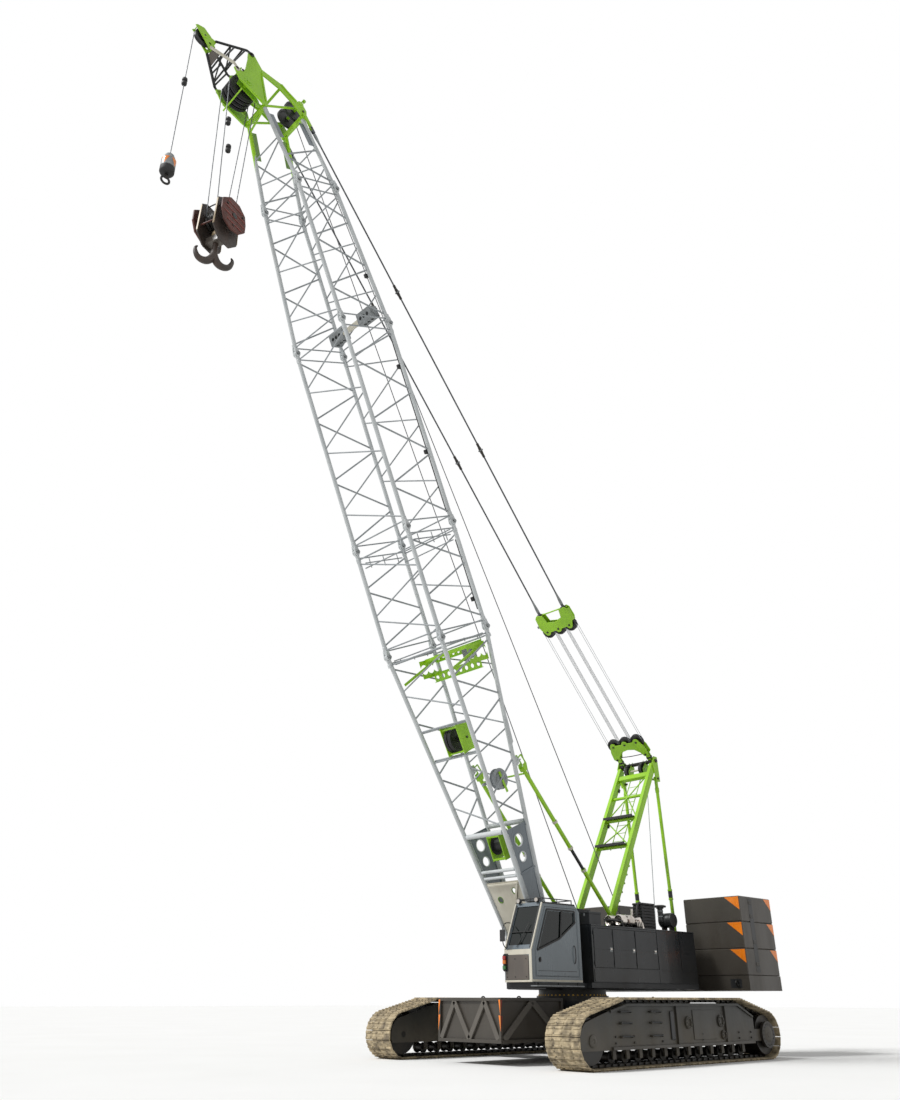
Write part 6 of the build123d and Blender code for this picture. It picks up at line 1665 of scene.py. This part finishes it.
piece("hookBlockBody", hookBlock(hookSpec), "hook_block", blockPlace, ["hook_block"])
wheel = groovedSheave(hookSpec["radius"], 0.04, 0.05, "greasySteel")
piece("hookBlockSheaves", [again(wheel, shift(0, (k - 1.5) * hookSpec["pitch"], 0)) for k in range(4)], "hook_block",
    blockPlace, ["hook_block_sheaves"])
bpy.data.objects.remove(wheel)


def horn(points, finish):
    # forged bar of changing thickness through (x, z, radius) points
    return coat(bentBar([(x, 0, z, radius) for x, z, radius in points], 1, bpy.ops.object.shade_smooth, 8, 5, 4),
        finish)


def doubleHook(spec):
    parts = []
    for side in (-1, 1):
        parts.append(horn([(0, 0.2, 0.07), (side * 0.02, 0.02, 0.1), (side * 0.09, -0.15, 0.105),
            (side * 0.26, -0.22, 0.09), (side * 0.42, -0.16, 0.078), (side * 0.48, 0.0, 0.06), (side * 0.5, 0.1, 0.045),
            (side * 0.47, 0.17, 0.028), (side * 0.44, 0.185, 0.018)], "castBrown"))
    top = spec["bowl"] + 0.11
    shank = spun([(0, -0.12), (0.09, -0.1), (0.1, 0.05), (0.082, 0.25), (0.072, 0.32), (0.072, top + 0.01),
        (0, top + 0.01)], "castBrown", 28)
    parts.append(moved(shank, upright))
    nut = spun([(0, top), (0.13, top), (0.135, top + 0.02), (0.135, top + 0.1), (0.12, top + 0.12), (0.115, top + 0.15),
        (0.08, top + 0.205), (0, top + 0.21)], "nutCream")
    parts.append(moved(nut, upright))
    return parts


hookTurn = Matrix.Rotation(math.radians(hookSpec["hookTurn"]), 4, "Z")
hookPlace = shift(headAt.x, 0, headAt.z - hookSpec["fall"] - hookSpec["crosshead"] - hookSpec["bowl"]) @ hookTurn
piece("mainHookForging", doubleHook(hookSpec), "main_hook", hookPlace, ["main_hook"])

# Headache ball of the auxiliary line, with its swivel ring
ballLow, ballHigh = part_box("aux_ball")
ballAt = Matrix.Translation(((ballLow[0] + ballHigh[0]) / 2, 0, (ballLow[2] + ballHigh[2]) / 2))
parts = [moved(spun([(0, -0.33), (0.12, -0.33), (0.17, -0.3), (0.19, -0.26), (0.19, -0.12), (0, -0.12)], "blackRubber",
        36), upright),
    moved(spun([(0, -0.12), (0.187, -0.12), (0.188, -0.1), (0.188, 0.15), (0.175, 0.17), (0.118, 0.325), (0.09, 0.33),
        (0, 0.33)], "galvanised", 36), upright)]
for k in range(4):
    # reflective triangles wrapped round the can
    mark = outlinePlate([(-0.12, 0.14), (0.12, 0.14), (0.0, -0.1)], 0, 0.0016, "x", "orangeSheet", 0)
    editAll(mark, lambda: bpy.ops.mesh.subdivide(number_cuts=5))
    for vertex in mark.data.vertices:
        reach, turn = 0.1882 + vertex.co.x, vertex.co.y / 0.19
        vertex.co = (reach * math.cos(turn), reach * math.sin(turn), vertex.co.z)
    parts.append(moved(mark, Matrix.Rotation(math.radians(90 * k + 35), 4, "Z")))
piece("ballWeight", parts, "aux_line", ballAt, ["aux_ball"])
ring = spun([(0.11 + 0.03 * math.cos(math.tau * k / 12), 0.03 * math.sin(math.tau * k / 12)) for k in range(12)],
    "blackRubber")
parts = [moved(ring, shift(0, 0, -0.54)),
    roundBar((0, 0, -0.45), (0, 0, -0.331), 0.045, "greasySteel", 20),
    slab((-0.05, -0.035, -0.47), (0.05, 0.035, -0.4), "greasySteel", 0.012)]
piece("swivelRing", parts, "aux_hook", ballAt, ["aux_hook"])

# Operator's seat: sewn cushions on a moulded base, consoles with levers
seat = {"x": 2.05, "y": 1.13, "floor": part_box("cab_seat")[0][2]}


def cushion(name, low, high, crown, turn=0):
    # foam block with crowned faces, sides pulled in between the corners, two grooves pressed across it
    centre = Vector([(a + b) / 2 for a, b in zip(low, high)])
    size = [b - a for a, b in zip(low, high)]
    bpy.ops.mesh.primitive_cube_add(size=1, scale=size)
    obj = settle(bpy.context.object)
    editAll(obj, lambda: bpy.ops.mesh.bevel(offset=min(size) * 0.2, segments=2, affect="EDGES"),
        lambda: bpy.ops.mesh.select_all(action="SELECT"), lambda: bpy.ops.mesh.subdivide(number_cuts=3))
    thin = size.index(min(size))
    for vertex in obj.data.vertices:
        u = [2 * vertex.co[k] / size[k] for k in range(3)]
        wide = [k for k in range(3) if k != thin]
        dome = max(0, 1 - u[wide[0]] ** 2) * max(0, 1 - u[wide[1]] ** 2)
        vertex.co[thin] *= 1 + crown * (dome - 0.25)
        for k, other in ((wide[0], wide[1]), (wide[1], wide[0])):
            vertex.co[k] *= 1 - 0.03 * max(0, 1 - u[other] ** 2)
        for groove in (-0.42, 0.42):
            vertex.co[thin] *= 1 - 0.1 * math.exp(-((u[wide[0]] - groove) / 0.05) ** 2)
    mod = obj.modifiers.new("soft", "SUBSURF")
    mod.levels = mod.render_levels = 1
    pick(obj)
    bpy.ops.object.modifier_apply(modifier=mod.name)
    bpy.ops.object.shade_smooth()
    coat(obj, "seatCloth")
    matrix = upperFrame @ Matrix.Translation(centre) @ Matrix.Rotation(turn, 4, "Y")
    obj = piece(name, [obj], "upper", matrix)
    return obj


x, y, base = seat["x"], seat["y"], seat["floor"]
cushion("seatSquab", (x - 0.2, y - 0.215, base + 0.3), (x + 0.225, y + 0.215, base + 0.415), 0.25)
cushion("seatBack", (x - 0.31, y - 0.205, base + 0.4), (x - 0.2, y + 0.205, base + 0.86), 0.3)
cushion("seatHeadrest", (x - 0.31, y - 0.13, base + 0.88), (x - 0.22, y + 0.13, base + 1.045), 0.3)
parts = [slab((x - 0.22, y - 0.2, base + 0.22), (x + 0.2, y + 0.2, base + 0.298), "charcoalSatin", 0.02),
    slab((x - 0.17, y - 0.15, base + 0.004), (x + 0.15, y + 0.15, base + 0.05), "greasySteel", 0.01),
    slab((x - 0.322, y - 0.19, base + 0.36), (x - 0.312, y + 0.19, base + 1.03), "charcoalSatin", 0.003)]
for k in range(5):
    z = base + 0.06 + k * 0.032
    parts.append(slab((x - 0.14 + 0.004 * (k % 2), y - 0.12, z), (x + 0.12, y + 0.12, z + 0.024), "blackRubber", 0.008))
for side in (-1, 1):
    yc = y + side * 0.32
    parts += [slab((x - 0.14, yc - 0.055, base + 0.01), (x + 0.3, yc + 0.055, base + 0.5), "charcoalSatin", 0.02),
        slab((x - 0.15, yc - 0.06, base + 0.5), (x + 0.35, yc + 0.06, base + 0.6), "panelBrown", 0.02),
        hose([(x + 0.26, yc, base + 0.59), (x + 0.26, yc, base + 0.65), (x + 0.27, yc, base + 0.7)], 0.012,
            "galvanised")]
    knob = spun([(0, -0.05), (0.016, -0.045), (0.022, 0), (0.02, 0.04), (0, 0.055)], "blackRubber", 18)
    parts.append(moved(knob, shift(x + 0.27, yc, base + 0.71) @ upright))
    for k in range(3):
        parts.append(roundBar((x + 0.05 + 0.05 * k, yc, base + 0.598), (x + 0.05 + 0.05 * k, yc, base + 0.61), 0.013,
            "redLens" if k == 1 else "blackRubber", 12))
piece("seatBase", parts, "upper", upperFrame, ["cab_seat"])
print("hooks, backstops, winches and seat done")


# Camera, light and floor
camera = {
    "place": (slewX + 20.568, 17.288, 1.314),
    "yaw": 226.94,
    "pitch": 26.843,
    "roll": 0.105,
    "lens": 30.045,
    "shift": (0.00073, -0.01304),
}


def addCamera(spec):
    yaw, pitch = math.radians(spec["yaw"]), math.radians(spec["pitch"])
    ahead = Vector((math.cos(yaw) * math.cos(pitch), math.sin(yaw) * math.cos(pitch), math.sin(pitch)))
    right = ahead.cross(Vector((0, 0, 1))).normalized()
    up = right.cross(ahead)
    turn = Matrix((right, up, -ahead)).transposed().to_4x4()
    data = bpy.data.cameras.new("camera")
    data.lens = spec["lens"]
    data.sensor_width = 36
    data.shift_x, data.shift_y = spec["shift"]
    data.clip_end = 500
    obj = bpy.data.objects.new("camera", data)
    obj.matrix_world = Matrix.Translation(spec["place"]) @ turn @ Matrix.Rotation(math.radians(spec["roll"]), 4, "Z")
    bpy.context.scene.camera = shown(obj)


light = {"sky": 0.38, "seen": 1.0, "sun": 2.7, "sunFrom": (0.75, -0.3, 0.85), "softness": 12}


def addLight(spec):
    world = bpy.data.worlds.new("sky")
    bpy.context.scene.world = world
    world.use_nodes = True
    tree = world.node_tree
    back = tree.nodes["Background"]
    back.inputs[0].default_value = (1, 1, 1, 1)
    path = addNode(tree, "LightPath")
    seen = addNode(tree, "Math", {"operation": "MAXIMUM"}, {0: path.outputs["Is Camera Ray"],
        1: path.outputs["Is Transmission Ray"]}).outputs[0]
    seen = addNode(tree, "Math", {"operation": "MAXIMUM"}, {0: seen, 1: path.outputs["Is Glossy Ray"]}).outputs[0]
    tree.links.new(ranged(tree, seen, 0, 1, spec["seen"], spec["sky"]), back.inputs[1])
    sun = bpy.data.objects.new("sun", bpy.data.lights.new("sun", "SUN"))
    sun.data.energy = spec["sun"]
    sun.data.angle = math.radians(spec["softness"])
    sun.matrix_world = Vector(spec["sunFrom"]).to_track_quat("Z", "Y").to_matrix().to_4x4()
    shown(sun)


def addFloor():
    # pale concrete floor, almost white, faintly mottled
    bpy.ops.object.select_all(action="DESELECT")
    bpy.ops.mesh.primitive_plane_add(size=400)
    floor = bpy.context.object
    floor.name = "floor"
    material, tree, shader, spot = newMaterial("paleConcrete", {"Roughness": 0.9})
    cloud = noise(tree, spot, 0.3, 4)
    colour = addNode(tree, "Mix", {"data_type": "RGBA", 6: linear("fbfbfa"), 7: linear("f3f3f1")},
        {0: cloud}).outputs[2]
    tree.links.new(colour, shader.inputs["Base Color"])
    floor.data.materials.append(material)
    floor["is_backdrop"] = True


addCamera(camera)
addLight(light)
addFloor()
bpy.context.scene.view_settings.view_transform = "Standard"
low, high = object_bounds()
print("scene ready")
